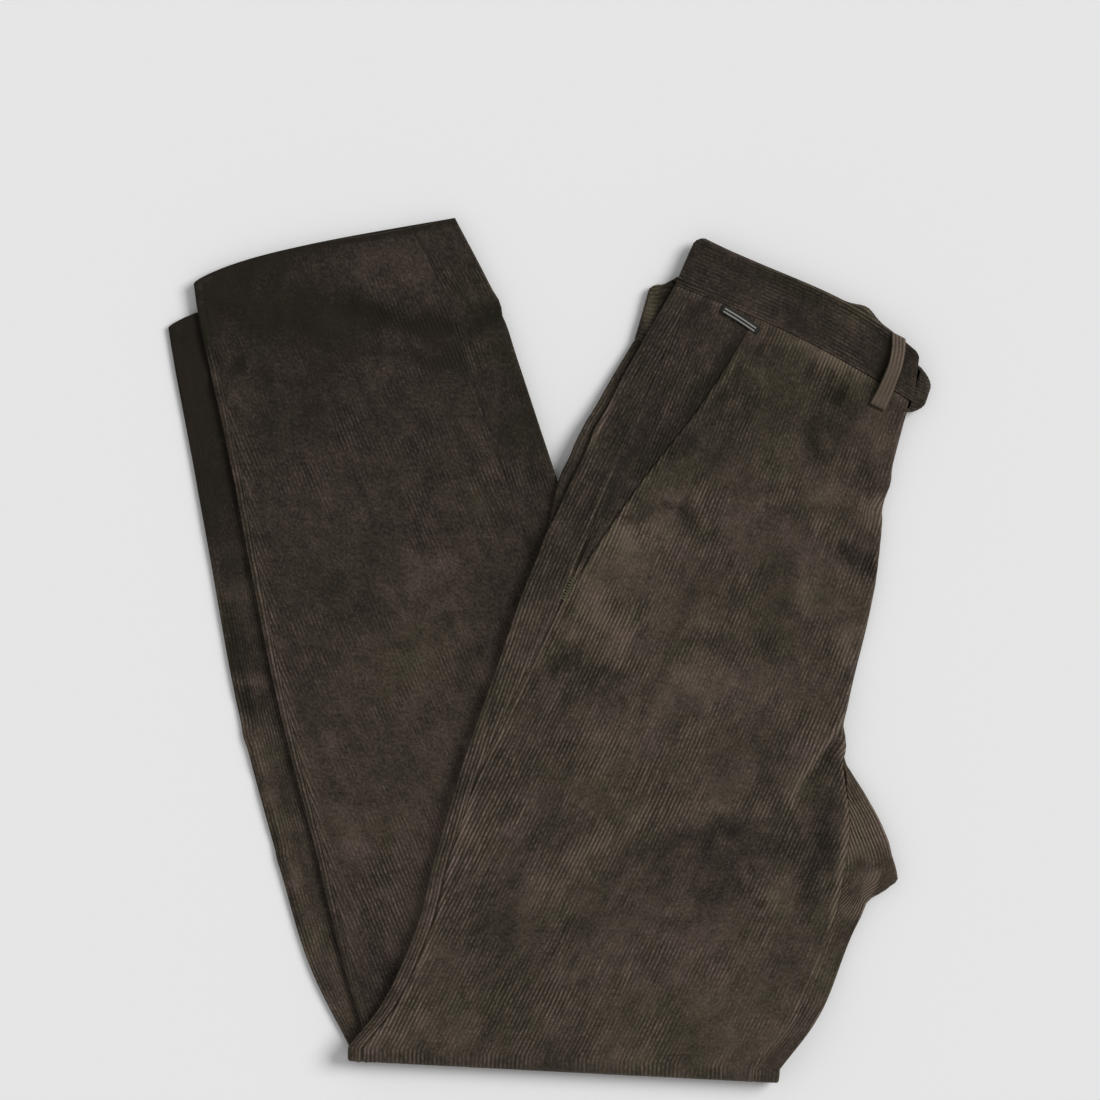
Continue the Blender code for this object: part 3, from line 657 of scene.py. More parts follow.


# Places where the pile is marked: points, width, and how much lighter, warmer and crisper. Some
# are nap lying another way, many are painted shade in creases, seams and under raised edges and
# painted highlights on fold ridges and rolled edges. What a row leaves out is 0.
TOP_PATCHES = (
    (((127, 200), (100, 160), (70, 128), (45, 100)), 15, -0.2, -0.1, 0.1),
    (((75, 190), (62, 165)), 14, -0.12),
    (((4, 96), (22, 82)), 7, -0.25),
    (((3, 72), (10, 84)), 6, 0.15, 0.2),
    # Painted highlight on the ridge below the waist seam
    (((148, 208), (170, 201), (200, 186), (214, 176)), 6, 0.32, -0.1, -0.2),
    (((122, 206), (142, 200)), 6, -0.2),
    (((180, 196), (200, 186)), 7, 0.2, -0.4),
    (((115, 178), (160, 165), (205, 148)), 30, -0.1, -0.4),
    (((166, 152), (196, 132)), 16, -0.16, -0.4, -0.2),
    # Painted highlight on the pocket mouth's raised lip
    (((130, 202), (113, 176), (90, 146)), 2, 0.22, -0.2, 0.2),
    (((84, 138), (102, 132), (120, 134)), 10, -0.1, 0.3, -0.3),
    (((190, 176), (200, 170)), 6, -0.25),
    (((140, 190), (155, 182)), 8, -0.12, -0.1),
    (((222, 162), (214, 125)), 8, 0.12, 0.3),
    (((120, 101), (170, 103), (212, 97)), 6, 0.16, 0.2),
    (((88, 100), (97, 80), (114, 76)), 9, -0.22, -0.3),
    (((46, 98), (80, 97)), 6, -0.22),
    (((12, 28), (44, 14), (40, -12)), 11, 0.28, 0.1),
    (((4, 6), (30, 10)), 8, 0.16),
    (((90, -50), (114, -54)), 9, 0.16),
    (((124, 188), (146, 178)), 6, 0.18),
    (((10, -180), (40, -186)), 8, -0.16),
    (((14, -40), (32, -46)), 8, 0.18),
    (((-54, -160), (-54, -184)), 8, 0.18),
    (((-44, -120), (-42, -134)), 8, -0.16),
    (((112, 162), (126, 158)), 8, 0.18),
    (((176, 88), (190, 84)), 8, 0.18),
    (((190, 27), (194, 16)), 7, -0.16),
    (((72, 8), (92, 4), (132, 2)), 10, -0.23),
    (((118, -86), (140, -80)), 9, 0.16, 0.1),
    (((196, -12), (188, -30)), 7, -0.18),
    (((40, -166), (50, -178)), 8, -0.18),
    (((-22, -140), (-22, -168)), 8, -0.18),
    (((186, -180), (178, -205)), 6, -0.2),
    (((62, 92), (50, 70), (32, 40), (20, 20)), 20, 0.09, 0.1),
    (((56, 77), (46, 68)), 6, 0.12, 0.5),
    (((40, 88), (68, 89)), 5, -0.28),
    (((60, 107), (76, 99), (90, 90), (98, 78)), 2.5, -0.16),
    (((32, 48), (24, 30)), 9, 0.12, 0.5),
    (((30, 88), (46, 60)), 12, 0.04, -0.5),
    # Painted shade in a crease at the hip
    (((188, 69), (202, 61), (217, 50)), 6, -0.27, 0, 0.2),
    (((186, 58), (200, 46), (212, 40)), 7, 0.1),
    (((138, 14), (162, -8)), 12, -0.2, -0.2),
    (((174, 48), (171, 16)), 7, 0.26, 0.1),
    (((186, 32), (200, 0)), 12, 0.12, 0.3),
    (((-5, -15), (20, -20), (50, -15)), 12, -0.12, -0.3),
    # Crotch crease: painted highlight along its folded edge, painted shade beside it and in the valley
    # along the inseam, and a painted highlight on the inseam's ridge
    (((184, -45), (167, -75), (160, -105)), 9, 0.16, 0.2, 0.2),
    (((212, -22), (194, -47), (178, -70), (166, -86), (160, -99), (161, -112)), 1.3, 0.5, 0, 0.3),
    (((212, -34), (197, -52), (182, -76), (171, -92), (165, -108)), 3.2, -0.12),
    (((184, -88), (180, -130), (166, -190)), 8, -0.22, 0.1, 0.3),
    (((194, -56), (197, -84), (199, -102), (197, -122), (185, -192)), 2, 0.45, 0, 0.4),
    (((-24, -30), (-60, -110), (-90, -190)), 26, 0.07, 0, 0.6),
    # Thigh: painted shade in the crease valleys and painted highlights on the fold ridges, among nap
    # patches
    (((56, -139), (78, -126), (94, -122)), 3.5, -0.1),
    (((104, -122), (122, -134)), 8, 0.1),
    (((60, -150), (90, -142), (150, -150)), 9, -0.05, 0.2, -0.3),
    (((8, -90), (24, -106), (37, -122)), 1.4, 0.16),
    (((90, -107), (118, -105), (144, -108)), 7, 0.18, 0.1),
    (((34, -110), (52, -121)), 7, -0.16),
    (((22, 0), (4, -10), (-18, -24)), 3.5, -0.12),
    (((66, 88), (40, 66), (20, 48)), 7, 0.08, 0.2),
    (((27, 76), (60, 100), (110, 104)), 4, 0.1),
    (((110, 100), (140, 60), (150, 20)), 18, -0.05, 0.2, -0.2),
    (((150, 80), (180, 60), (200, 54)), 9, 0.07, 0.3),
    # Painted shade in a small fold below the band
    (((182, 176), (190, 168), (199, 172)), 4.5, -0.14),
    (((174, 188), (186, 181)), 5, 0.2),
    (((205, 130), (214, 112)), 5, -0.12),
    (((216, 106), (216, 78)), 7, 0.34, 0.1),
    (((182, 150), (184, 130)), 7, 0.18),
    (((40, -60), (90, -90)), 30, 0, 0, 0.45),
    # Painted shade in the thigh's lower crease and painted highlights on the ridges beside it
    (((22, -170), (50, -144), (76, -129), (114, -122), (140, -128), (180, -150)), 8, -0.14, 0.3, -0.2),
    (((100, -135), (150, -150)), 18, -0.1, 0.2, 0.3),
    (((122, -144), (152, -172)), 3.5, 0.22, 0, 0.2),
    (((0, -162), (30, -132), (62, -108)), 12, 0.16, 0, 0.2),
    (((-64, -172), (-20, -186)), 20, -0.1, -0.2, 0.3),
    (((90, -165), (120, -166)), 9, -0.14, 0.1),
    (((85, -10), (120, -40), (140, -70)), 30, 0.02, 0.2, 0.1),
    (((20, -50), (80, -70)), 30, 0.1, 0.1, 0.1),
    (((-80, -200), (-30, -150), (40, -120)), 30, 0, 0, 0.3),
    (((-48, -176), (-20, -190), (10, -186)), 12, -0.03, 0.1, -0.7),
    (((58, -186), (90, -170), (140, -180)), 20, 0.03, 0.3, -0.8),
    (((14, -84), (27, -100), (38, -112)), 8, -0.04, 0.1, -0.7),
    (((96, -76), (128, -96)), 16, 0.03, 0.2, -0.6),
    (((60, -250), (140, -250)), 30, 0, 0, -0.3),
    (((27, 34), (26, 22)), 8, 0, 0, -0.5),
    (((72, -14), (28, -16), (4, -40)), 10, 0, 0, 0.45),
    (((106, 8), (118, 2)), 10, 0, 0, -0.4),
    (((170, 8), (182, 4)), 9, 0, 0, -0.4),
    (((86, -16), (114, -14)), 9, 0, 0, -0.5),
    (((66, -36), (94, -36)), 9, 0, 0, -0.4),
    (((42, -55), (74, -60)), 10, 0, 0, -0.7),
    (((44, -74), (53, -86)), 8, 0, 0, -0.6),
    (((0, -92), (8, -106)), 8, 0, 0, 0.5),
    (((42, -120), (60, -122), (76, -124)), 8, 0, 0, 0.6),
    (((176, -114), (176, -130)), 7, 0, 0, 0.4),
    (((42, -142), (74, -144)), 9, 0, 0, 0.5),
    (((128, -143), (142, -143)), 8, 0, 0, 0.3),
    (((-40, -156), (-36, -174)), 8, 0, 0, 0.4),
    (((22, -164), (52, -164)), 8, 0, 0, 0.3),
    (((-62, -184), (-32, -188)), 9, 0, 0, 0.5),
    (((196, 184), (202, 168)), 7, 0, 0, -0.3),
    (((220, 144), (216, 122)), 7, 0, 0, -0.6),
    (((198, 120), (198, 104)), 9, 0, 0, -0.5),
    (((160, -64), (147, -88)), 8, 0, 0, 0.7),
)
LOW_PATCHES = (
    # Painted sheen along the left leg's rolled left edge
    (((-209, 150), (-195, 59), (-177, -33), (-153, -127), (-130, -220)), 5, 0.12, 0, 0.7),
    (((-240, 238), (-200, 228), (-150, 220), (-110, 214)), 26, -0.3, -0.3, -0.2),
    (((-236, 245), (-228, 215)), 10, -0.15, -0.2, -0.2),
    # Painted shade in the crease across the hem
    (((-150, 232), (-105, 220), (-62, 211), (-38, 221)), 8, -0.2, -0.1, -0.1),
    (((-130, 252), (-90, 252), (-60, 250)), 15, 0.07, 0.4),
    (((-106, 237), (-76, 237)), 7, -0.14, 0.1),
    (((-75, 262), (-66, 258)), 8, -0.15, -0.5),
    (((-230, 250), (-160, 268), (-70, 287)), 5, -0.1, -0.3, -0.2),
    (((-200, 150), (-110, 150)), 40, -0.05, 0.3),
    (((-230, 236), (-140, 248), (-60, 262)), 34, 0, 0, -0.3),
    (((-210, 192), (-203, 186)), 7, -0.2),
    (((-150, -40), (-95, -10), (-45, 25)), 28, 0.14, -0.3),
    (((-100, 52), (-60, 66)), 10, 0.12, -0.1),
    (((-150, -100), (-110, -150), (-100, -210)), 45, 0.12, -0.1, 0.45),
    (((-140, -125), (-126, -138)), 10, 0.15, 0.5),
    # Painted highlight that softens the shadow the right leg's edge casts here
    (((-18, 36), (-52, -60), (-98, -210)), 6, 0.34, -0.1),
    (((-236, 246), (-231, 225), (-222, 190), (-212, 150)), 7, -0.12, -0.2, -0.2),
    (((-240, 242), (-190, 256), (-130, 268), (-70, 288)), 12, -0.07, 0, -0.3),
    (((-240, 246), (-200, 254), (-160, 262)), 12, -0.1, 0, -0.3),
    # Painted shade in the creases across the hem
    (((-112, 217), (-80, 212), (-50, 218), (-26, 230)), 5, -0.14),
    (((-124, 203), (-84, 194), (-54, 196), (-30, 190)), 6, -0.24),
    (((-92, 80), (-58, 76)), 9, -0.16),
    (((-42, 92), (-24, 84)), 7, -0.18),
    (((-198, 186), (-184, 178)), 7, -0.18),
    (((-206, 154), (-196, 146)), 6, -0.16),
    (((-172, 24), (-148, 20)), 8, 0.18),
    (((-120, 38), (-84, 48)), 8, 0.18),
    (((-90, 64), (-80, 68)), 7, -0.14),
    (((-62, 4), (-46, -2)), 7, -0.16),
    (((-88, 208), (-40, 190)), 5, -0.16),
    (((-84, 22), (-62, 24)), 8, -0.16),
    (((-120, 258), (-94, 240)), 9, -0.14),
    # Painted highlight that softens the shadow of the right leg's edge
    (((-84, -150), (-101, -220)), 5, 0.16),
    (((-175, 208), (-140, 190), (-90, 180)), 16, 0.05, 0.3),
    (((-190, 20), (-130, 30), (-70, 62)), 8, -0.06, 0.1),
    (((-186, -20), (-120, 8), (-50, 44)), 7, 0.07),
    (((-176, -60), (-110, -34), (-64, -6)), 7, -0.06),
    (((-225, 160), (-130, 190), (-30, 170)), 60, -0.05),
    (((-170, -60), (-110, -80), (-60, -40)), 60, 0.05),
    (((-126, 131), (-76, 116)), 14, 0, 0, -0.35),
)
RIGHT_BACK_PATCHES = (
    (((20, 110), (-20, 20), (-60, -80), (-90, -180)), 14, 0, 0, 0.45),
    # Painted sheen along the rolled left edge
    (((54, 196), (45, 176), (33, 149), (16, 120)), 1.5, 0.4, 0, 0.3),
    (((-262, 290), (-250, 215), (-238, 120), (-222, 40)), 36, -0.5, 0.2, -0.8),
    (((4, 66), (-10, 30)), 8, -0.15, 0, 0.2),
    (((58, 160), (42, 128), (28, 100), (12, 72)), 5, -0.2, 0, -0.2),
    (((-216, 30), (-205, -50)), 22, -0.25, 0, -0.1),
    (((-195, -80), (-165, -200)), 20, -0.1, 0.1, 0.2),
    # Painted sheen along the rolled left edge
    (((-204, -44), (-182, -118), (-168, -165), (-158, -205)), 4, 0.28),
    (((-218, 62), (-210, 40)), 9, -0.2, 0, -0.4),
    (((-216, -20), (-186, -22)), 5, 0.32, 0.2),
    (((-210, -36), (-194, -40)), 5, -0.15),
    (((-204, -84), (-186, -90)), 5, -0.15),
    (((-192, -124), (-176, -128)), 5, -0.15),
    (((205, -90), (222, -140)), 25, 0.3, 0.1, 0.3),
    (((88, 244), (62, 190), (34, 124)), 16, -0.14, 0.1),
    # Fork: painted highlight on the fold's edge, painted shade beside it, and a broader painted
    # highlight on the fold
    (((219, -146), (215, -154), (208, -169)), 2, 0.34, 0.2, 0.2),
    (((224, -146), (219, -156), (212, -168)), 2.4, -0.22),
    (((204, -138), (206, -146)), 4, -0.2),
    (((219, -142), (214, -156), (205, -168), (196, -178)), 7, 0.5, 0.1),
    (((192, -106), (192, -126)), 5, -0.16),
    (((199, -90), (208, -112), (220, -138)), 3, -0.1),
)
BAND_PATCHES = (
    (((96, 268), (150, 248), (228, 210)), 5, -0.06, -0.6),
    (((104, 232), (125, 226)), 9, -0.12),
    (((140, 238), (180, 218)), 9, -0.05, 0.2, 0.1),
    (((142, 240), (158, 232)), 6, 0.1, 0.2, 0.3),
    (((185, 226), (205, 216)), 8, 0.12, 0.1, 0.2),
    (((90, 262), (84, 248)), 6, 0.1),
    (((69, 256), (67, 230), (63, 200)), 6, 0.45, -0.7),
    (((81, 250), (78, 226)), 4, -0.1),
    (((252, 184), (248, 164)), 6, 0.1, -0.8),
    # Painted shadow of the right belt loop on the band
    (((226, 212), (224, 194), (217, 176), (211, 164)), 2.6, -0.5),
    (((240, 206), (243, 176)), 5, -0.04),
)
LEFT_BACK_PATCHES = (
    # Painted sheen along the rolled left edge
    (((-218, 150), (-199, 59), (-180, -33), (-157, -127), (-134, -220)), 5, 0.2, 0, 0.7),
    (((-246, 268), (-238, 232), (-226, 190)), 9, -0.3, -0.3, -0.5),
    (((-36, 222), (-26, 200), (-12, 160), (2, 120)), 14, -0.14, -0.2, -0.2),
    # Painted shade in the crease across the hem
    (((-70, 211), (-50, 216), (-26, 230)), 8, -0.22),
    (((-60, 280), (-48, 250)), 12, 0.02, 0.2, -0.2),
    (((60, 200), (20, 130)), 30, 0.1, -0.4, 0.2),
)
FACING_PATCHES = TOP_PATCHES + (
    # Painted shadow under the pocket mouth's raised lip and below the band
    (((74, 168), (54, 131), (40, 106), (12, 62)), 10, -0.32, 0.1, -0.3),
    (((142, 232), (126, 206), (106, 174)), 8, -0.3, 0.1, -0.2),
    (((78, 232), (112, 218)), 8, -0.22, 0.1, -0.2),
    (((125, 207), (104, 173), (80, 142), (52, 104), (38, 74)), 5, -0.16, 0.4, 0.2),
    (((31, 82), (20, 62), (11, 48)), 2.2, -0.4),
)
TOP_PILE = Pile(0, 0.59, 1.0, 0.5, 0.6, TOP_PATCHES)
FACING_PILE = Pile(0, 0.56, 1.3, 0.7, 0.58, FACING_PATCHES)
LOW_PILE = Pile(3, 0.4, 0.6, 0.85, 0.15, LOW_PATCHES)
RIGHT_BACK_PILE = Pile(5, 0.53, 0.8, 0.55, 0.6, RIGHT_BACK_PATCHES)
LEFT_BACK_PILE = Pile(7, 0.35, 0.8, 0.65, 0.25, LEFT_BACK_PATCHES)
BAND_PILE = Pile(11, 0.31, 1.0, 0.65, 0.35, BAND_PATCHES)
LOOP_PILE = Pile(15, 1.06, 0.7, 0.5, 0.75, ())
TAPE_PILE = Pile(2, 0.5, 1.0, 0.5, 0.0, ())

WALE_LONG, BREAK_LONG = 26.0, 4.0  # how far a wale keeps its tone, and a break in it
WALE_LIGHT, BREAK_LIGHT = 0.07, 0.05  # how much these change its lightness
WALE_CRISP = 0.5  # and the first one its crispness
SWAY, SWAY_LONG = 0.3, 11.0  # the wales wander sideways by this
RIM_SHADE, RIM_WIDE = 0.35, 2.5  # the pile is darker at a panel's last row
LEAST_CRISP = 0.06  # the furrows never quite close
LEAST_LEVEL = 0.02  # the cloth stays this far above the surface
HIDDEN_TURN = math.pi * 0.8  # from here on the right front is hidden, the left one shows


def resting(points):
    """Points no lower than the surface that the garment lies on."""
    lifted = points.copy()
    lifted[..., 2] = np.maximum(lifted[..., 2], -ORIGIN[2] + LEAST_LEVEL)
    return lifted


def two_faces(leg, a, h, normal, up, down):
    """The surfaces of a sheet that lie up and down from its section points, along the normal."""
    return [resting(place(leg, a + off * normal[0], h + off * normal[1])) for off in (up, down)]


def rounding(from_edge, wide, least):
    """Share of the full thickness beside a rounded edge: a quarter circle, not under least."""
    inside = np.clip(from_edge / wide, 0.0, 1.0)
    return np.sqrt(np.clip(1.0 - (1.0 - inside) ** 2, least, 1.0))


def pile_shell(name, leg, section, across, first, last, hidden, depth, pitch, flip, pile,
               middle=(0, 0)):
    """Outer and inner surface of a panel from its section points: the wales stand on the
    outer one, fading where hidden is 1, and fine columns only lie where they show."""
    a, h, normal_a, normal_h, shape, seam_away, rim_away = section
    fine = 1.0 - hidden[:, None]
    along = np.broadcast_to(run_along(leg)[:, None], a.shape)
    # Pile tone, warmth and crispness, with its painted shade and highlights
    pile_and_painted_light = pile_of(place(leg, a, h), pile, seam_away, rim_away)
    each_wale = ripple(np.stack([across / pitch, along / WALE_LONG], -1), 1.0, 41)
    broken = ripple(np.stack([across / pitch, along / BREAK_LONG], -1), 1.0, 42)
    across = across + SWAY * ripple(np.stack([across, along], -1), SWAY_LONG, 43)
    pile_and_painted_light[..., 0] -= RIM_SHADE * bell(along[-1] - along, RIM_WIDE)
    crisp = pile_and_painted_light[..., 2] * (1.0 + WALE_CRISP * each_wale)
    pile_and_painted_light[..., 0] += crisp * (WALE_LIGHT * each_wale + BREAK_LIGHT * broken)
    rise = depth * fine * (wale(across, pitch) - 1.0) * (LEAST_CRISP + crisp)
    outer, inner = two_faces(leg, a, h, (normal_a, normal_h), CLOTH / 2 + shape + rise,
                             -CLOTH / 2 + shape)
    columns = a.shape[1]
    own = snapped(columns, first, last, 1)
    coarse = snapped(columns, first, last, 2 * WALE_PARTS, middle)
    rough = snapped(columns, first, last, WALE_PARTS, middle)
    outer_keep = np.where(hidden[:, None] > 0.5, rough, own)
    grain = np.stack([across, along], axis=-1)
    return build(name, outer, inner, outer_keep, coarse, grain, pile_and_painted_light, flip)


def hidden_rows(leg):
    """1 in the rows of a leg whose front faces the surface, 0 in those that face up."""
    show = smooth_fall(leg.turn, HIDDEN_TURN)
    return 1.0 - show if leg.side > 0 else show


CROTCH_IN = 3.0  # where the inseam starts, from the tube's right edge


def joined_reach(at, inseam):
    """How far a front's right edge lies past its tube's: round the edge at the hip, and at
    the inseam below the crotch."""
    round_edge = -PANEL / 2 - FRONT_H + FRONT_H * (math.pi / 2 - math.asin(JOIN_GAP / 2 / FRONT_H))
    part = np.clip((at - CROTCH_ROW + JOIN_FADE) / JOIN_FADE, 0.0, 1.0)
    return np.where(at < CROTCH_ROW, round_edge + part * (-CROTCH_IN - round_edge), -inseam)


# Mouth of the pocket: the front's edge there is raised by this, by the place in its table
LIP = ((0.0, 1.5, 2.3, 2.9), (0.6, 0.9, 2.1, 2.1))
LIP_LONG = 11.0  # and comes down over this length
LIP_DROP, LIP_DROP_WIDE = 0.5, 0.9  # its very edge is turned down
JOIN_DROP, JOIN_DROP_WIDE = 0.5, 1.0  # and so is the edge where the two legs join
MOUTH_OPEN = 6.0  # a mouth this far from the seam has its full lip
MOUTH_END, MOUTH_END_LONG = 2.85, 0.3  # from here in the table it runs into the seam


def front_section(leg, path, low, high):
    """Section points of a front: level, and turned down round the right edge at the hip."""
    centre = leg.width[:, None] - PANEL / 2 - FRONT_H
    a, h, heading = along_path(path, 0.0, FRONT_H, 0.0,
                               [(centre, 0.0), (FRONT_H * math.pi / 2, -math.pi / 2)])
    from_left = path - low[:, None]
    from_right = high[:, None] - path
    pocket = np.clip((leg.mouth - leg.seam) / MOUTH_OPEN, 0.0, 1.0)[:, None]
    raised = np.interp(leg.at, *LIP)[:, None]
    lip = raised * smooth_fall(from_left, LIP_LONG) - LIP_DROP * bell(from_left, LIP_DROP_WIDE)
    show = seam_show(leg)
    shape = pocket * lip + (1.0 - pocket) * seam_dip(from_left, show)
    joined = np.clip((CROTCH_ROW - leg.at) / JOIN_FADE, 0.0, 1.0)[:, None]
    shape = shape + (1.0 - joined) * seam_dip(from_right, INSEAM_SHOW) \
        - joined * JOIN_DROP * bell(from_right, JOIN_DROP_WIDE)
    seam_away = np.minimum(from_left + SEAM_FADE * (1.0 - show),
                           from_right + INSEAM_FADES[leg.side])
    return a, h, -np.sin(heading), np.cos(heading), shape, seam_away, seam_away + FAR


def make_front(name, leg, depth, pitch, pile):
    """A front panel, from the waist seam round the knee to the hem."""
    open_wide = np.maximum(leg.mouth - leg.seam, 0.0)
    low = leg.seam + open_wide * smooth_fall(leg.at - MOUTH_END, MOUTH_END_LONG)
    high = leg.width + joined_reach(leg.at, leg.inseam)
    path, across, first, last = wale_columns(leg, low, high, pitch / WALE_PARTS)
    section = front_section(leg, path, low, high)
    return pile_shell(name, leg, section, across, first, last, hidden_rows(leg),
                      depth, pitch, leg.side < 0, pile)


FLAT_COLUMNS = 14  # fine columns on each side of a back's level middle
MIDDLE_COLUMNS = 36  # coarse ones between
RIGHT_GRAIN = 300.0  # grain at the right edge, where the left edge's is 0
CROTCH_GAP, CROTCH_GAP_ROWS = 0.3, 0.3  # the inseam's gap is wider just below the crotch
# Painted sheen: where the line of paler pile along a folded edge lies
SHEEN_LINE_IN = 2.0  # the pale line of a folded edge, before its turn
RUN_ON = 1.0  # a path runs on past its end by this


def back_families(leg, step):
    """Length of the left strip and of the round edge, and the distances of a back's fine
    columns: a family fixed to the left edge and one fixed to the right edge."""
    arc = math.pi * PITCH / 2
    strip_left = leg.seam - SEAM_GAP - EDGE_A
    left = np.arange(-math.ceil(strip_left.max() / step), math.ceil(arc / step) + FLAT_COLUMNS) * step
    right = np.arange(-FLAT_COLUMNS, math.ceil((arc + leg.inseam.max()) / step) + 1) * step
    return strip_left, arc, left, right


def make_back(name, leg, depth, pitch, pile):
    """A back panel: from the side seam round the left edge, level, and round the right one."""
    step = pitch / WALE_PARTS
    strip, arc, left, right = back_families(leg, step)
    gap = SEAM_GAP + CROTCH_GAP * bell(leg.at - CROTCH_ROW - JOIN_FADE, CROTCH_GAP_ROWS)
    part = np.clip((leg.at - CROTCH_ROW) / JOIN_FADE, 0.0, 1.0)
    sections, ends, paths = [], [], []
    turn_in = math.pi / 2 - math.asin(JOIN_GAP / 2 / BACK_H)
    legs_apart = [(leg.width - 2 * EDGE_A, arc, math.pi, leg.inseam - gap - EDGE_A),
                  (leg.width - PANEL / 2 - FRONT_H - EDGE_A, BACK_H * turn_in, -turn_in, 0.0 * strip)]
    for bottom, bend, sweep, top in legs_apart:
        bend_at = (strip + arc + bottom)[:, None]
        from_left = strip[:, None] + left[None, :]
        from_right = bend_at + right[None, :]
        share = (np.arange(1, MIDDLE_COLUMNS + 1) / (MIDDLE_COLUMNS + 1))[None, :]
        between = from_left[:, -1:] + share * (from_right[:, :1] - from_left[:, -1:])
        path = np.concatenate([from_left, between, from_right], axis=1)
        end = strip + arc + bottom + bend + np.maximum(top, 0.0)
        held = np.clip(path, 0.0, end[:, None])
        a, h, heading = along_path(held, (leg.seam - SEAM_GAP)[:, None], FRONT_H, math.pi,
                                   [(strip[:, None], 0.0), (arc, math.pi),
                                    (bottom[:, None], 0.0), (bend, sweep),
                                    (np.maximum(top, 0.0)[:, None] + RUN_ON, 0.0)])
        show = seam_show(leg)
        shape = seam_dip(held, show) + seam_dip(end[:, None] - held, INSEAM_SHOW)
        seam_away = np.minimum(held + SEAM_FADE * (1.0 - show),
                               end[:, None] - held + INSEAM_FADES[leg.side])
        rim_away = np.abs(held - strip[:, None] + SHEEN_LINE_IN)
        sections.append((a, h, np.sin(heading), -np.cos(heading), shape, seam_away, rim_away))
        ends.append(end)
        paths.append(path)
    apart, joined = sections
    blend = part[:, None]
    section = [blend * p + (1.0 - blend) * q for p, q in zip(apart, joined)]
    length = np.hypot(section[2], section[3])
    section[2:4] = section[2] / length, section[3] / length
    path = np.where(blend > 0.0, paths[0], paths[1])
    end = np.where(part > 0.0, ends[0], ends[1])
    first, last = limits(path, np.zeros(len(end)), end)
    middle_count = path.shape[1] - len(left) - len(right)
    middle = np.linspace(left[-1], RIGHT_GRAIN + right[0], middle_count + 2)[1:-1]
    across = np.concatenate([left, middle, RIGHT_GRAIN + right])[None, :] + 0.0 * path
    seen = np.concatenate([np.ones(len(left)), np.zeros(middle_count), np.ones(len(right))])
    return pile_shell(name, leg, section, across, first, last, np.zeros(len(end)),
                      depth * seen[None, :], pitch, leg.side > 0, pile,
                      (len(left), len(left) + middle_count))


def upper_part(leg, last_row):
    """The rows of a leg's upper run down to a place in its table."""
    rows = leg.at <= last_row
    return Leg(leg.side, *(field[rows] for field in leg[1:]))


FACING_ROWS = 3.15  # the facing ends at this place of its table
FACING_UNDER = 4.0  # it runs on under the front by this much
FACING_LEAST = 3.0  # and is no narrower than this
FACING_LOW = 0.1  # it lies a little lower than the panels
FACING_SINK = 1.3  # and sinks by this towards the mouth
FACING_SINK_FROM, FACING_SINK_LONG = 1.0, 9.0
FACING_TOP, FACING_TOP_SINK = 0.8, 0.25  # near the waist seam it sinks less


def make_facing(name, leg, depth, pitch, pile):
    """A pocket facing: from the side seam to under the pocket mouth, sinking towards it."""
    part = upper_part(leg, FACING_ROWS)
    low = part.seam + SEAM_GAP
    high = np.maximum(part.mouth + FACING_UNDER, low + FACING_LEAST)
    path, across, first, last = wale_columns(part, low, high, pitch / WALE_PARTS)
    from_left = path - low[:, None]
    sunk = FACING_SINK * (1.0 - smooth_fall(from_left - FACING_SINK_FROM, FACING_SINK_LONG)) \
        * np.clip(part.at / FACING_TOP, FACING_TOP_SINK, 1.0)[:, None]
    shape = seam_dip(from_left, seam_show(part))
    one, nought = np.ones_like(path), np.zeros_like(path)
    section = (path, FRONT_H - sunk, nought, one, shape - FACING_LOW,
               from_left + SEAM_FADE * (1.0 - seam_show(part)), nought + FAR)
    return pile_shell(name, part, section, across, first, last,
                      np.full(len(part.at), 0.0 if leg.side > 0 else 1.0),
                      depth, pitch, leg.side < 0, pile)


# Ends of the bands' top edge and of their seam line
RIGHT_BAND = ((97.3, 277.0, 245.7, 198.0), (82.3, 243.0, 241.5, 164.6))
LEFT_BAND = ((66.3, 245.0, 257.0, 185.5), (55.0, 206.3, 247.0, 155.8))
BAND_SEAM_GAP = 0.15  # between the band and the panels
# The band's back peeps over its front on each side: height, place and width of that
BACK_RISES = {1.0: (4.0, 118.0, 9.0), -1.0: (9.0, 13.0, 6.0)}
BAND_ROUND = 1.6  # width of the band's rounded long edges
BAND_EDGE_LEAST = 0.12  # share of its thickness that is left at the very edge
BAND_TOP_SKEW = 1.6  # over 1, the top edge's bow is fullest towards the right
BAND_STEP, BAND_TURN_STEP = 3.5, 0.7  # between its columns: where it is level, and turns
BAND_FURROW_FADE = 1.5  # its furrows fade this far from the long edges
BAND_UNEVEN, BAND_UNEVEN_LONG = 0.3, 16.0  # how uneven they are
BAND_SWAY, BAND_SWAY_LONG = 0.35, 24.0  # the band waves by this
BAND_OFF_SEAM = 1.2  # its pile counts as this far from a seam at the edges
# Length of the curled end's lip: what the end lies beyond this line, within limits
CURL_FROM, CURL_LEAST, CURL_MOST = 10.6, 0.6, 6.0


def rounded(amount, distance):
    """How far a corner's edge lies inside: amount at the corner, nothing past its reach."""
    return amount * (1.0 - np.clip(distance / (1.3 * amount + 0.1), 0.0, 1.0)) ** 2


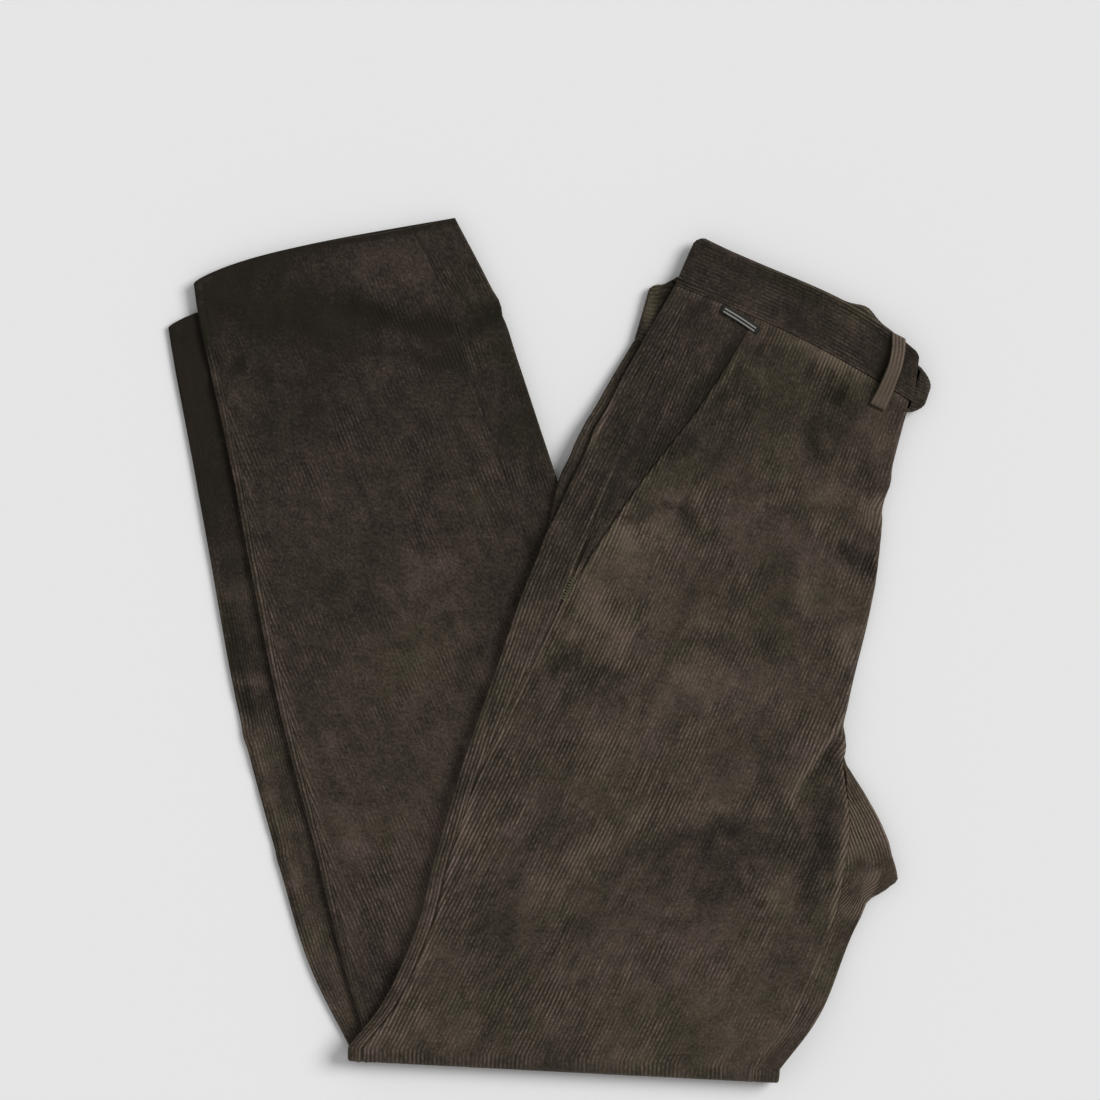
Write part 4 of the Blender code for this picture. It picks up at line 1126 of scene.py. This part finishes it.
def make_band(name, side, ends, corners, curled, depth, pitch, pile):
    """A waistband half: wales along it, its top edge folded over, its left half's end curled."""
    top, seam = np.array(ends[0]), np.array(ends[1])
    for k in (0, 2):
        up = top[k:k + 2] - seam[k:k + 2]
        seam[k:k + 2] += up / np.linalg.norm(up) * BAND_SEAM_GAP
    tall = (np.linalg.norm(top[:2] - seam[:2]) + np.linalg.norm(top[2:] - seam[2:])) / 2
    count = round(tall / pitch * WALE_PARTS) + 1
    share = np.linspace(0.0, 1.0, count)[:, None]
    rows = top + (seam - top) * share
    left, right = rows[:, :2], rows[:, 2:]
    width = np.linalg.norm(right - left, axis=1)
    across = (right - left) / width[:, None]
    from_top, from_seam = share[:, 0] * tall, (1.0 - share[:, 0]) * tall
    left_in, right_in, seam_in = corners
    pull = rounded(left_in, from_top)
    left = left + across * pull[:, None]
    widest = width.max()
    width = width - pull - rounded(right_in, from_top) - rounded(seam_in, from_seam)
    none = np.zeros(count)
    leg = Leg(side, left, across, width, none, none, none, none,
              BAND_TOP_BOW + (WAIST_BOW - BAND_TOP_BOW) * share[:, 0],
              BAND_TOP_SKEW + (1.0 - BAND_TOP_SKEW) * share[:, 0], none)
    edge = (BAND + PITCH) / 2
    curl_r = FRONT_H
    arc = math.pi * PITCH / 2
    front_end = width - BAND / 2 - curl_r if curled else width
    bottom = width - BAND_BACK_SHORT - curl_r - edge
    front = front_end - edge
    stretches = [(front[:, None], 0.0), (arc, math.pi), (bottom[:, None], 0.0)]
    lip = np.clip(front_end - (widest - CURL_FROM), CURL_LEAST, CURL_MOST)[:, None]
    if curled:
        stretches[:0] = [(lip, 0.0), (curl_r * math.pi, math.pi)]
    path, before = [], 0.0
    for length, sweep in stretches:
        parts = math.ceil(float(np.max(length)) / (BAND_TURN_STEP if sweep else BAND_STEP))
        steps = np.arange(parts + (length is stretches[-1][0])) / parts
        path.append(before + length * steps[None, :] + 0.0 * width[:, None])
        before = before + length
    path = np.concatenate(path, axis=1)
    start = front_end[:, None] - (lip if curled else 0.0)
    a, h, heading = along_path(path, start, -curl_r if curled else FRONT_H,
                               0.0 if curled else math.pi, stretches)
    down = share * tall
    from_edges = np.minimum(down, tall - down)
    half = BAND / 2 * rounding(from_edges, BAND_ROUND, BAND_EDGE_LEAST)
    furrow = depth * (wale(down, pitch) - 1.0) * np.clip(from_edges / BAND_FURROW_FADE, 0.0, 1.0)
    steps = np.abs(np.diff(path, axis=1))
    along = np.concatenate([np.zeros((count, 1)), steps], axis=1).cumsum(axis=1)
    down = down + 0.0 * path
    grain = np.stack([down, along], axis=-1)
    furrow = furrow * (1.0 - BAND_UNEVEN * ripple(grain, BAND_UNEVEN_LONG, 33))
    sway = BAND_SWAY * ripple(grain, BAND_SWAY_LONG, 34)
    outer, inner = two_faces(leg, a, h, (np.sin(heading), -np.cos(heading)),
                             half + furrow + sway, -half + sway)
    high, high_at, high_wide = BACK_RISES[side]
    back = np.clip(np.cos(heading) * 2.0, 0.0, 1.0)
    rise = high * bell(a - high_at, high_wide) * (1.0 - share) ** 3 * back
    climb = np.array([-leg.across[0, 1], leg.across[0, 0]])
    for grid in (outer, inner):
        grid[..., :2] += rise[..., None] * climb
    keep = np.broadcast_to(np.arange(path.shape[1]), path.shape)
    # The band's pile, with its painted shade and highlights, among them the belt loop's painted shadow
    pile_and_painted_light = pile_of(outer, pile, from_edges + BAND_OFF_SEAM + 0.0 * path, from_edges + FAR)
    return build(name, outer, inner, keep, keep, grain, pile_and_painted_light, side > 0)


def upper_level(plan, h_up):
    """Height of the top cloth's folds and level at plan points, h_up above the legs' plane."""
    q = LEGS_Q + h_up
    top = (folds(plan, TOP_FOLDS) + cloth_waves(plan)) * off_knee(plan) * layer_share(q)
    return rest_height(plan) + q + top


LOOPS = {
    "belt_loop_right": (((231.6, 209.5), (231.4, 200.0), (229.0, 188.5), (222.8, 173.0),
                         (217.2, 161.5)), 1.0),
    "belt_loop_left": (((235.5, 190.5), (232.5, 176.0), (229.0, 161.0), (225.0, 147.0)), -1.0),
}
LOOP_WIDE = 9.2  # at its top
LOOP_FLARE = 0.22  # a loop's lower end is this share wider
LOOP_THICK = {1.0: 2.0, -1.0: 1.4}
LOOP_BULGE = {1.0: 3.6, -1.0: 0.0}
LOOP_DEEP = 1.6  # its furrows are this much deeper
TRIM_GAP = 0.4  # trim stands this far off the cloth under it
SMOOTH = (1.0, 2.0, 3.0, 2.0, 1.0)  # weights that round a strip's line
STRIP_STEP = 2.0  # from one row of a strip to the next
STRIP_SLANT, STRIP_SLANT_LONG = 2.2, 9.0  # the top of a flared strip slants
STRIP_ROUND, STRIP_EDGE_LEAST = 1.3, 0.1  # its rounded long edges, as the band's
STRIP_FURROW_FADE = 1.0  # its furrows fade this far from them
ARCH_POWER = 1.4  # over 1, a strip lies down more towards its ends
PRESS, PRESS_AT, PRESS_WIDE = 0.25, 1.5, 1.2  # its stitched ends are pressed in
END_ROUND, END_LEAST = 0.8, 0.25  # at its very ends this second share of the thickness is left
STRIP_OFF_SEAM = 9.0  # its pile counts as this far from a seam at the edges


def make_strip(name, line, side, wide, flared, thick, bulge, ground, depth, pitch, pile):
    """A narrow folded strip on the cloth: rounded long edges, wales along it, its middle
    arched and its ends pressed down."""
    line = np.array(line)
    lengths = np.concatenate([[0.0], np.cumsum(np.linalg.norm(np.diff(line, axis=0), axis=1))])
    rows = round(lengths[-1] / STRIP_STEP) + 1
    run = np.linspace(0.0, lengths[-1], rows)
    centre = np.stack([np.interp(run, lengths, line[:, k]) for k in (0, 1)], axis=1)
    kernel = np.array(SMOOTH) / sum(SMOOTH)
    padded = np.pad(centre, ((2, 2), (0, 0)), mode="reflect", reflect_type="odd")
    centre = np.stack([np.convolve(padded[:, k], kernel, "valid") for k in (0, 1)], axis=1)
    along = np.gradient(centre, axis=0)
    along /= np.linalg.norm(along, axis=1)[:, None]
    across = np.stack([along[:, 1], -along[:, 0]], axis=1)
    columns = round(wide / pitch * WALE_PARTS) + 1
    s = np.linspace(-0.5, 0.5, columns)[None, :] * wide
    t = (run / run[-1])[:, None]
    flare = 1.0 + flared * t ** 3
    plan = centre[:, None, :] + across[:, None, :] * (s * flare)[..., None]
    slant = -STRIP_SLANT * flared * s * bell(run[:, None], STRIP_SLANT_LONG)
    plan = plan + along[:, None, :] * slant[..., None]
    from_edge = wide / 2 - np.abs(s)
    half = thick / 2 * rounding(from_edge, STRIP_ROUND, STRIP_EDGE_LEAST)
    arch = bulge * np.sin(np.pi * t) ** ARCH_POWER \
        - PRESS * bell(t * run[-1] - PRESS_AT, PRESS_WIDE) \
        - PRESS * bell((1 - t) * run[-1] - PRESS_AT, PRESS_WIDE)
    ends = np.clip(np.minimum(t, 1.0 - t) * run[-1] / END_ROUND + END_LEAST, 0.0, 1.0)
    furrow = depth * (wale(s, pitch) - 1.0) * np.clip(from_edge / STRIP_FURROW_FADE, 0.0, 1.0)
    if side > 0:
        level = upper_level(plan, ground)
    else:
        level = rest_height(plan) + LEGS_Q - ground
    middle = level + side * (thick / 2 + arch)
    top = middle + side * (half * ends + furrow)
    under = middle - side * half * ends
    outer = np.concatenate([plan, top[..., None]], axis=-1)
    inner = np.concatenate([plan, under[..., None]], axis=-1)
    keep = np.broadcast_to(np.arange(columns), (rows, columns))
    grain = np.stack([s + 0.0 * t, run[:, None] + 0.0 * s], axis=-1)
    pile_and_painted_light = pile_of(outer, pile, from_edge + STRIP_OFF_SEAM + 0.0 * t, from_edge + FAR)
    return build(name, resting(outer), resting(inner), keep, keep, grain, pile_and_painted_light, side > 0)


TAB_LINE = ((113.5, 228.0), (126.0, 220.5), (138.5, 212.0))
TAB_WIDE, TAB_THICK = 5.6, 0.6
TACK_LINE = ((15.0, 47.5), (8.6, 33.0))
TACK_WIDE, TACK_STITCHES = 4.6, 17
THREAD = 0.34  # half the thickness of the sewing thread
THREAD_HIGH = 1.1  # a stitch is this much higher than half a round bar
STITCH_TAPER = 0.85  # a stitch thins out to its ends, 1 would be to nothing
STITCH_LEAN = 0.35  # every other stitch leans the other way
STITCH_GRID = (9, 5)  # points along and round a stitch
TACK_GAP = 0.25  # the stitches start this far above the cloth


def make_bartack(name, line, wide, stitches):
    """A row of close stitches across a line: each is half a rounded bar, one grid for all."""
    start, end = np.array(line[0]), np.array(line[1])
    along = (end - start) / np.linalg.norm(end - start)
    across = np.array([along[1], -along[0]])
    u = np.linspace(-1.0, 1.0, STITCH_GRID[0])[:, None]
    v = np.linspace(0.0, np.pi, STITCH_GRID[1])[None, :]
    taper = np.sqrt(1.0 - STITCH_TAPER * u ** 2)
    long_way = u * wide / 2
    round_way = THREAD * taper * np.cos(v)
    up = THREAD * THREAD_HIGH * taper * np.sin(v)
    at = np.linspace(0.0, 1.0, stitches)[:, None, None]
    lean = STITCH_LEAN * (np.arange(stitches) % 2 * 2 - 1)[:, None, None]
    centre = start + at[..., None] * (end - start)
    plan = (centre + across * long_way[None, ..., None]
            + along * (round_way[None] + lean * u[None])[..., None])
    ground = upper_level(plan, FRONT_H + CLOTH / 2 + TACK_GAP)
    points = np.concatenate([plan, (ground + up[None])[..., None]], axis=-1)
    index = np.arange(points[..., 0].size).reshape(points.shape[:3])
    item = plain_item(name, (points + np.array(ORIGIN)) * MM, cells(index))
    item.data.shade_smooth()
    return item


# ---------------- materials

def node_operator(operation):
    """A Python operator of Wire that adds one Math node."""
    return lambda left, right: left.maths(operation, left, right)


class Wire:
    """A value on its way through a shader, so that shader maths reads as Python."""

    def __init__(self, tree, socket):
        self.tree = tree
        self.socket = socket

    def node(self, kind, settings, inputs, output=0):
        """One node of any kind: its settings first, then the values or links of its sockets."""
        made = self.tree.nodes.new(kind)
        for key, value in settings.items():
            setattr(made, key, value)
        for key, value in inputs.items():
            if isinstance(value, Wire):
                self.tree.links.new(value.socket, made.inputs[key])
            else:
                made.inputs[key].default_value = value
        return Wire(self.tree, made.outputs[output])

    def maths(self, operation, left, right=0.0, clamp=False):
        """One Math node."""
        return self.node("ShaderNodeMath", {"operation": operation, "use_clamp": clamp},
                         {0: left, 1: right})

    __add__ = __radd__ = node_operator("ADD")
    __mul__ = __rmul__ = node_operator("MULTIPLY")
    __sub__ = node_operator("SUBTRACT")
    __truediv__ = node_operator("DIVIDE")
    __pow__ = node_operator("POWER")

    def __rsub__(self, other):
        return self.maths("SUBTRACT", other, self)

    def limited(self):
        """The value held between 0 and 1."""
        return self.maths("ADD", self, 0.0, clamp=True)

    def mixed(self, low, high):
        """A colour between low and high by this value."""
        return self.node("ShaderNodeMix", {"data_type": "RGBA"}, {0: self, 6: low, 7: high}, 2)

    def attribute(self, name):
        """A number that the mesh carries at its points."""
        return self.node("ShaderNodeAttribute", {"attribute_name": name}, {}, "Fac")

    def noise(self, vector, scale, detail=2.0, stretch=(1.0, 1.0, 1.0)):
        """Noise about 0 on a vector that may be stretched first."""
        mapped = self.node("ShaderNodeMapping", {}, {"Vector": vector, "Scale": stretch})
        found = self.node("ShaderNodeTexNoise", {},
                          {"Vector": mapped, "Scale": scale, "Detail": detail})
        return found - 0.5


CLOTH_TINT = (1.0, 0.84, 0.66, 1.0)
SPECULAR, SHEEN_ROUGHNESS = 0.18, 0.45
# Fine grain of the corduroy, in waves a metre across and along the wales
SPECK, FIBRE, FUZZ = (620.0, 420.0, 1.0), (1300.0, 1000.0, 1.0), (2600.0, 1100.0, 1.0)
CLOUD, MARKS = (150.0, 55.0, 1.0), (75.0, 110.0, 1.0)
OWN_ACROSS, OWN_ALONG = 0.93, 90.0  # nearly one for each wale
# The tab, in metres: its threads, and its two pale lines
TAPE_THREAD = 0.0005
TAPE_MIDDLE, TAPE_LINE_AT, TAPE_LINE_HALF = 0.0004, 0.0011, 0.00055
TAPE_HALF_WAY, TAPE_LINE_LONG, TAPE_LINE_FADE = 0.0145, 0.0125, 2000.0


def linear(colour):
    """A colour property as four numbers."""
    return (colour[0], colour[1], colour[2], 1.0)


def new_material(name, roughness, sheen, tint):
    """A material, its Principled shader and a wire to start from."""
    material = bpy.data.materials.new(name)
    material.use_nodes = True
    tree = material.node_tree
    shader = tree.nodes["Principled BSDF"]
    shader.inputs["Roughness"].default_value = roughness
    shader.inputs["Specular IOR Level"].default_value = SPECULAR
    shader.inputs["Sheen Weight"].default_value = sheen
    shader.inputs["Sheen Roughness"].default_value = SHEEN_ROUGHNESS
    shader.inputs["Sheen Tint"].default_value = tint
    start = Wire(tree, shader.outputs[0])
    return material, shader, start


def corduroy(name, sizes):
    """Corduroy on the grain map: pile that is lighter or darker in patches, nap patches and painted
    shade and highlights alike, each wale a little unlike the next, painted shade in the furrows and
    painted highlight on the wales where they stand crisp, and fibres as fine grain and bump."""
    material, shader, start = new_material(name, 0.9, sizes.sheen, CLOTH_TINT)
    grain = start.node("ShaderNodeUVMap", {"uv_map": "grain"}, {})
    across = start.node("ShaderNodeSeparateXYZ", {}, {"Vector": grain}, 0)
    place_on = start.node("ShaderNodeTexCoord", {}, {}, "Object")
    crisp = start.attribute("crisp")
    arch = start.maths("SINE", across * (math.tau / sizes.wale_pitch) - math.pi / 2) * 0.5 + 0.5
    own = start.noise(grain, 1.0, 1.0, (OWN_ACROSS / sizes.wale_pitch, OWN_ALONG, 1.0))
    speck = start.noise(grain, 1.0, 1.0, SPECK)
    fibre = start.noise(grain, 1.0, 1.0, FIBRE)
    cloud = start.noise(grain, 1.0, 5.0, CLOUD)
    marks = (start.noise(grain, 1.0, 3.0, MARKS) * 5.0 + 0.5).limited() - 0.5
    # The pile's lightness, with the painted shade and highlights that the mesh carries
    light = (start.attribute("light") + cloud * 0.3 + marks * 0.09 + own * (crisp * 0.4 + 0.05)
             + speck * sizes.speckle + fibre * sizes.speckle)
    warm = start.attribute("warm") + start.noise(place_on, 70.0, 2.0) * 0.7
    dark = warm.limited().mixed(linear(sizes.dark_olive), linear(sizes.dark_brown))
    pale = warm.limited().mixed(linear(sizes.pale_olive), linear(sizes.pale_brown))
    colour = (light.limited() ** 1.6).mixed(dark, pale)
    # Painted shade in the furrows and painted highlight on the wale tops, as strong as the wales stand
    # crisp, and fine grain in the dark pile
    strength = crisp * (speck * 3.0 + 1.0) * sizes.furrow_shade
    flat = 1.0 - light.limited()
    shade = 1.0 + (arch - 0.5) * strength + (cloud * 0.7 + speck * 0.7) * flat
    tinted = start.node("ShaderNodeVectorMath", {"operation": "SCALE"},
                        {0: colour, "Scale": shade})
    start.tree.links.new(tinted.socket, shader.inputs["Base Color"])
    fuzz = start.noise(grain, 1.0, 3.0, FUZZ)
    height = arch * (crisp * sizes.wale_bump) + fuzz * 0.0002 + own * 0.0001
    bump = start.node("ShaderNodeBump", {}, {"Height": height, "Strength": 1.0, "Distance": 1.0})
    start.tree.links.new(bump.socket, shader.inputs["Normal"])
    return material


def tape_material(sizes):
    """Dark woven tape with a pale thread line near each long edge."""
    material, shader, start = new_material("woven_tape", 0.75, 0.1, (0.8, 0.8, 0.8, 1.0))
    grain = start.node("ShaderNodeUVMap", {"uv_map": "grain"}, {})
    across = start.node("ShaderNodeSeparateXYZ", {}, {"Vector": grain}, 0)
    along = start.node("ShaderNodeSeparateXYZ", {}, {"Vector": grain}, 1)
    threads = start.maths("SINE", along * (math.tau / TAPE_THREAD)) * 0.5 + 0.5
    away = start.maths("ABSOLUTE", start.maths("ABSOLUTE", across - TAPE_MIDDLE) - TAPE_LINE_AT)
    line = (1.0 - away / TAPE_LINE_HALF).limited() ** 0.5
    inset = start.maths("ABSOLUTE", along - TAPE_HALF_WAY)
    line = line * ((TAPE_LINE_LONG - inset) * TAPE_LINE_FADE).limited()
    worn = start.noise(grain, 1.0, 2.0, (1500.0, 900.0, 1.0))
    colour = (line * (worn * 0.8 + 0.85)).mixed(linear(sizes.tape), linear(sizes.thread))
    woven = start.node("ShaderNodeVectorMath", {"operation": "SCALE"},
                       {0: colour, "Scale": threads * 0.25 + 0.75})
    start.tree.links.new(woven.socket, shader.inputs["Base Color"])
    bump = start.node("ShaderNodeBump", {}, {"Height": threads * 0.0001, "Distance": 1.0})
    start.tree.links.new(bump.socket, shader.inputs["Normal"])
    return material


def thread_material(sizes):
    """Sewing thread: a twist along each stitch."""
    material, shader, start = new_material("sewing_thread", 0.6, 0.2, (0.9, 0.9, 0.8, 1.0))
    place_on = start.node("ShaderNodeTexCoord", {}, {}, "Object")
    twist = start.noise(place_on, 2600.0, 1.0)
    colour = (twist + 0.5).limited().mixed(linear(sizes.bartack_dark), linear(sizes.bartack))
    start.tree.links.new(colour.socket, shader.inputs["Base Color"])
    return material


def floor_material(sizes):
    """Pale even surface."""
    material, shader, _ = new_material("pale_surface", 0.9, 0.0, (1.0, 1.0, 1.0, 1.0))
    shader.inputs["Base Color"].default_value = linear(sizes.floor)
    return material


# ---------------- settings

def length_setting(name, description, default):
    """A length in metres."""
    return bpy.props.FloatProperty(name=name, description=description, default=default,
                                   min=0.0, unit="LENGTH", precision=5)


def share_setting(name, description, default):
    """A plain number."""
    return bpy.props.FloatProperty(name=name, description=description, default=default, min=0.0)


def colour_setting(name, description, default):
    """A colour."""
    return bpy.props.FloatVectorProperty(name=name, description=description, default=default,
                                         subtype="COLOR", size=3, min=0.0, max=1.0)


class TrousersSettings(bpy.types.PropertyGroup):
    """Sizes and colours of the trousers and of the stage."""

    wale_pitch: length_setting("Wale pitch", "From one wale to the next", 0.0024)
    wale_depth: length_setting("Wale depth", "Depth of the furrows in the mesh", 0.0003)
    wale_bump: length_setting("Wale bump", "Depth of the furrows added by the material", 0.00025)
    # Painted shade in the furrows and painted highlight on the wale tops
    furrow_shade: share_setting("Furrow shade", "How much darker crisp furrows are", 0.9)
    speckle: share_setting("Speckle", "Strength of the pile's fine grain", 0.7)
    sheen: share_setting("Sheen", "Sheen of the pile", 0.07)
    dark_olive: colour_setting("Dark olive", "Dark greenish pile", (0.0116, 0.0097, 0.0050))
    dark_brown: colour_setting("Dark brown", "Dark warm pile", (0.0143, 0.0101, 0.0066))
    pale_olive: colour_setting("Pale olive", "Pale greenish pile", (0.0830, 0.0666, 0.0445))
    pale_brown: colour_setting("Pale brown", "Pale warm pile", (0.0990, 0.0718, 0.0572))
    tape: colour_setting("Tape", "Woven tape of the pocket tab", (0.020, 0.022, 0.018))
    thread: colour_setting("Thread", "Pale lines of the tab", (0.42, 0.40, 0.37))
    bartack: colour_setting("Bartack", "Thread of the bartack", (0.115, 0.105, 0.055))
    bartack_dark: colour_setting("Bartack shade", "Darker twist of it", (0.05, 0.045, 0.025))
    floor: colour_setting("Floor", "Surface that the trousers lie on", (0.80, 0.80, 0.80))


def settings():
    """The scene's settings, with the wales' depth and pitch in millimetres."""
    use = bpy.context.scene.trousers
    return use, use.wale_depth / MM, use.wale_pitch / MM


RIGHT_LEG = make_leg(1.0, RIGHT_UPPER, RIGHT_LOWER)
LEFT_LEG = make_leg(-1.0, LEFT_UPPER, LEFT_LOWER)


def finish_piece(item, material, nodes, rests_on=()):
    """Gives a piece its material and body, and hides its CAD nodes."""
    item.data.materials.append(material)
    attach(item, "root")
    if nodes:
        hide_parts(*nodes)
    return item


class MakeFronts(bpy.types.Operator):
    """Makes the two front panels"""

    bl_idname = "trousers.make_fronts"
    bl_label = "Fronts"

    def execute(self, context):
        use, depth, pitch = settings()
        for name, under, leg, pile, flat, area in (
                ("right_front", "right_back", RIGHT_LEG, TOP_PILE, (0.28, 1.09), 0.22),
                ("left_front", "left_back", LEFT_LEG, LOW_PILE, (0.27, 1.07), 0.206)):
            item = make_front(name + "_cloth", leg, depth, pitch, pile)
            material = corduroy(name + "_corduroy", use)
            finish_piece(item, material, [name], [under])
        return {"FINISHED"}


class MakeBacks(bpy.types.Operator):
    """Makes the two back panels, with their hidden middles"""

    bl_idname = "trousers.make_backs"
    bl_label = "Backs"

    def execute(self, context):
        use, depth, pitch = settings()
        for name, under, leg, pile, flat, area in (
                ("right_back", "left_back", RIGHT_LEG, RIGHT_BACK_PILE, (0.33, 1.09), 0.285),
                ("left_back", "left_front", LEFT_LEG, LEFT_BACK_PILE, (0.33, 1.07), 0.28)):
            item = make_back(name + "_cloth", leg, depth, pitch, pile)
            material = corduroy(name + "_corduroy", use)
            finish_piece(item, material, [name, "hidden_layers"],
                         [under])
        return {"FINISHED"}


class MakePocketFacings(bpy.types.Operator):
    """Makes the facings under the two pocket mouths"""

    bl_idname = "trousers.make_pocket_facings"
    bl_label = "Pocket facings"

    def execute(self, context):
        use, depth, pitch = settings()
        for name, leg in (("right_pocket_facing", RIGHT_LEG),
                          ("left_pocket_facing", LEFT_LEG)):
            item = make_facing(name + "_cloth", leg, depth, pitch, FACING_PILE)
            material = corduroy(name + "_corduroy", use)
            finish_piece(item, material, [name],
                         [name.split("_")[0] + "_back"])
        return {"FINISHED"}


class MakeWaistbands(bpy.types.Operator):
    """Makes the two halves of the waistband"""

    bl_idname = "trousers.make_waistbands"
    bl_label = "Waistband"

    def execute(self, context):
        use, depth, pitch = settings()
        for name, under, side, ends, corners, curled, flat in (
                ("right_waistband", "left_waistband", 1.0, RIGHT_BAND, (5.0, 3.0, 0.0), False,
                 (0.33, 0.035)),
                ("left_waistband", "left_front", -1.0, LEFT_BAND, (4.0, 11.0, 8.0), True,
                 (0.41, 0.035))):
            item = make_band(name + "_cloth", side, ends, corners, curled, depth, pitch, BAND_PILE)
            material = corduroy(name + "_corduroy", use)
            finish_piece(item, material, [name], [under])
        return {"FINISHED"}


class MakeBeltLoops(bpy.types.Operator):
    """Makes the two front belt loops"""

    bl_idname = "trousers.make_belt_loops"
    bl_label = "Belt loops"

    def execute(self, context):
        use, depth, pitch = settings()
        for name, (line, side) in LOOPS.items():
            item = make_strip(name + "_cloth", line, side, LOOP_WIDE, LOOP_FLARE,
                              LOOP_THICK[side], LOOP_BULGE[side],
                              FRONT_H + BAND / 2 + TRIM_GAP, depth * LOOP_DEEP, pitch, LOOP_PILE)
            material = corduroy(name + "_corduroy", use)
            finish_piece(item, material, [name],
                         [name.split("_")[-1] + "_waistband"])
        return {"FINISHED"}


class MakePocketTrim(bpy.types.Operator):
    """Makes the woven tab at the pocket's top and the bartack at its end"""

    bl_idname = "trousers.make_pocket_trim"
    bl_label = "Tab and bartack"

    def execute(self, context):
        use, _, pitch = settings()
        item = make_strip("pocket_tab_cloth", TAB_LINE, 1.0, TAB_WIDE, 0.0, TAB_THICK, 0.0,
                          FRONT_H + CLOTH / 2 + TRIM_GAP, 0.0, pitch, TAPE_PILE)
        finish_piece(item, tape_material(use), ["pocket_tab"])
        tack = make_bartack("pocket_bartack", TACK_LINE, TACK_WIDE, TACK_STITCHES)
        finish_piece(tack, thread_material(use), [])
        return {"FINISHED"}


# The stage, in metres
FLOOR_HALF = 4.0
FLOOR_POINTS = 9  # each way
FLOOR_DROP = 0.0002  # the floor lies this far under the garment
ROOM_LIGHT = 0.48
LIGHTS = (("key", (1.9, 0.85, 1.9), 30.0, 2.35),)  # name, place, spread in degrees, power
CAMERA_LENS, CAMERA_SENSOR = 200.0, 36.0  # millimetres
PICTURE_WIDE = 0.73333
PICTURE_CENTRE = (-0.00135, 0.06692)
GARMENT_LEVEL = 0.014  # the picture has its width at this height
CAMERA_REACH = 4.0  # times its height


class MakeStage(bpy.types.Operator):
    """Makes the floor, the lights and the camera"""

    bl_idname = "trousers.make_stage"
    bl_label = "Stage"

    def execute(self, context):
        scene = context.scene
        use = scene.trousers
        scene.view_settings.view_transform = "Standard"
        scene.view_settings.look = "None"
        across = np.linspace(-FLOOR_HALF, FLOOR_HALF, FLOOR_POINTS)
        x, y = np.meshgrid(across, across, indexing="ij")
        points = np.stack([x, y, np.full_like(x, -FLOOR_DROP)], axis=-1)
        floor = plain_item("floor", points, cells(np.arange(x.size).reshape(x.shape)))
        floor.data.materials.append(floor_material(use))
        for name, place_at, spread, power in LIGHTS:
            light = bpy.data.lights.new(name, "SUN")
            light.angle = math.radians(spread)
            light.energy = power
            lamp = add_item(name, light)
            lamp.location = place_at
            lamp.rotation_mode = "QUATERNION"
            aim = -lamp.location.normalized()
            lamp.rotation_quaternion = aim.to_track_quat("-Z", "Y")
        world = bpy.data.worlds.new("soft_room")
        world.use_nodes = True
        sky = world.node_tree.nodes["Background"]
        sky.inputs["Color"].default_value = (1.0, 1.0, 1.0, 1.0)
        sky.inputs["Strength"].default_value = ROOM_LIGHT
        scene.world = world
        camera = add_item("camera", bpy.data.cameras.new("camera"))
        camera.data.lens = CAMERA_LENS
        camera.data.sensor_width = CAMERA_SENSOR
        height = PICTURE_WIDE * CAMERA_LENS / CAMERA_SENSOR
        camera.location = (*PICTURE_CENTRE, height + GARMENT_LEVEL)
        camera.data.clip_end = CAMERA_REACH * height
        scene.camera = camera
        return {"FINISHED"}


class TrousersPanel(bpy.types.Panel):
    """Lists the settings and the pieces"""

    bl_idname = "VIEW3D_PT_trousers"
    bl_label = "Trousers"
    bl_space_type = "VIEW_3D"
    bl_region_type = "UI"
    bl_category = "Trousers"

    def draw(self, context):
        for key in TrousersSettings.__annotations__:
            self.layout.prop(context.scene.trousers, key)
        for operator in OPERATORS:
            self.layout.operator(operator.bl_idname)


OPERATORS = (MakeFronts, MakeBacks, MakePocketFacings, MakeWaistbands, MakeBeltLoops,
             MakePocketTrim, MakeStage)


def register():
    """Adds the settings, the operators and the panel."""
    for cls in (TrousersSettings, *OPERATORS, TrousersPanel):
        bpy.utils.register_class(cls)
    bpy.types.Scene.trousers = bpy.props.PointerProperty(type=TrousersSettings)


def unregister():
    """Takes them away again."""
    del bpy.types.Scene.trousers
    for cls in reversed((TrousersSettings, *OPERATORS, TrousersPanel)):
        bpy.utils.unregister_class(cls)


def main():
    """Makes every piece and the stage."""
    register()
    bpy.ops.trousers.make_fronts()
    bpy.ops.trousers.make_backs()
    bpy.ops.trousers.make_pocket_facings()
    bpy.ops.trousers.make_waistbands()
    bpy.ops.trousers.make_belt_loops()
    bpy.ops.trousers.make_pocket_trim()
    bpy.ops.trousers.make_stage()


if __name__ == "__main__":
    main()
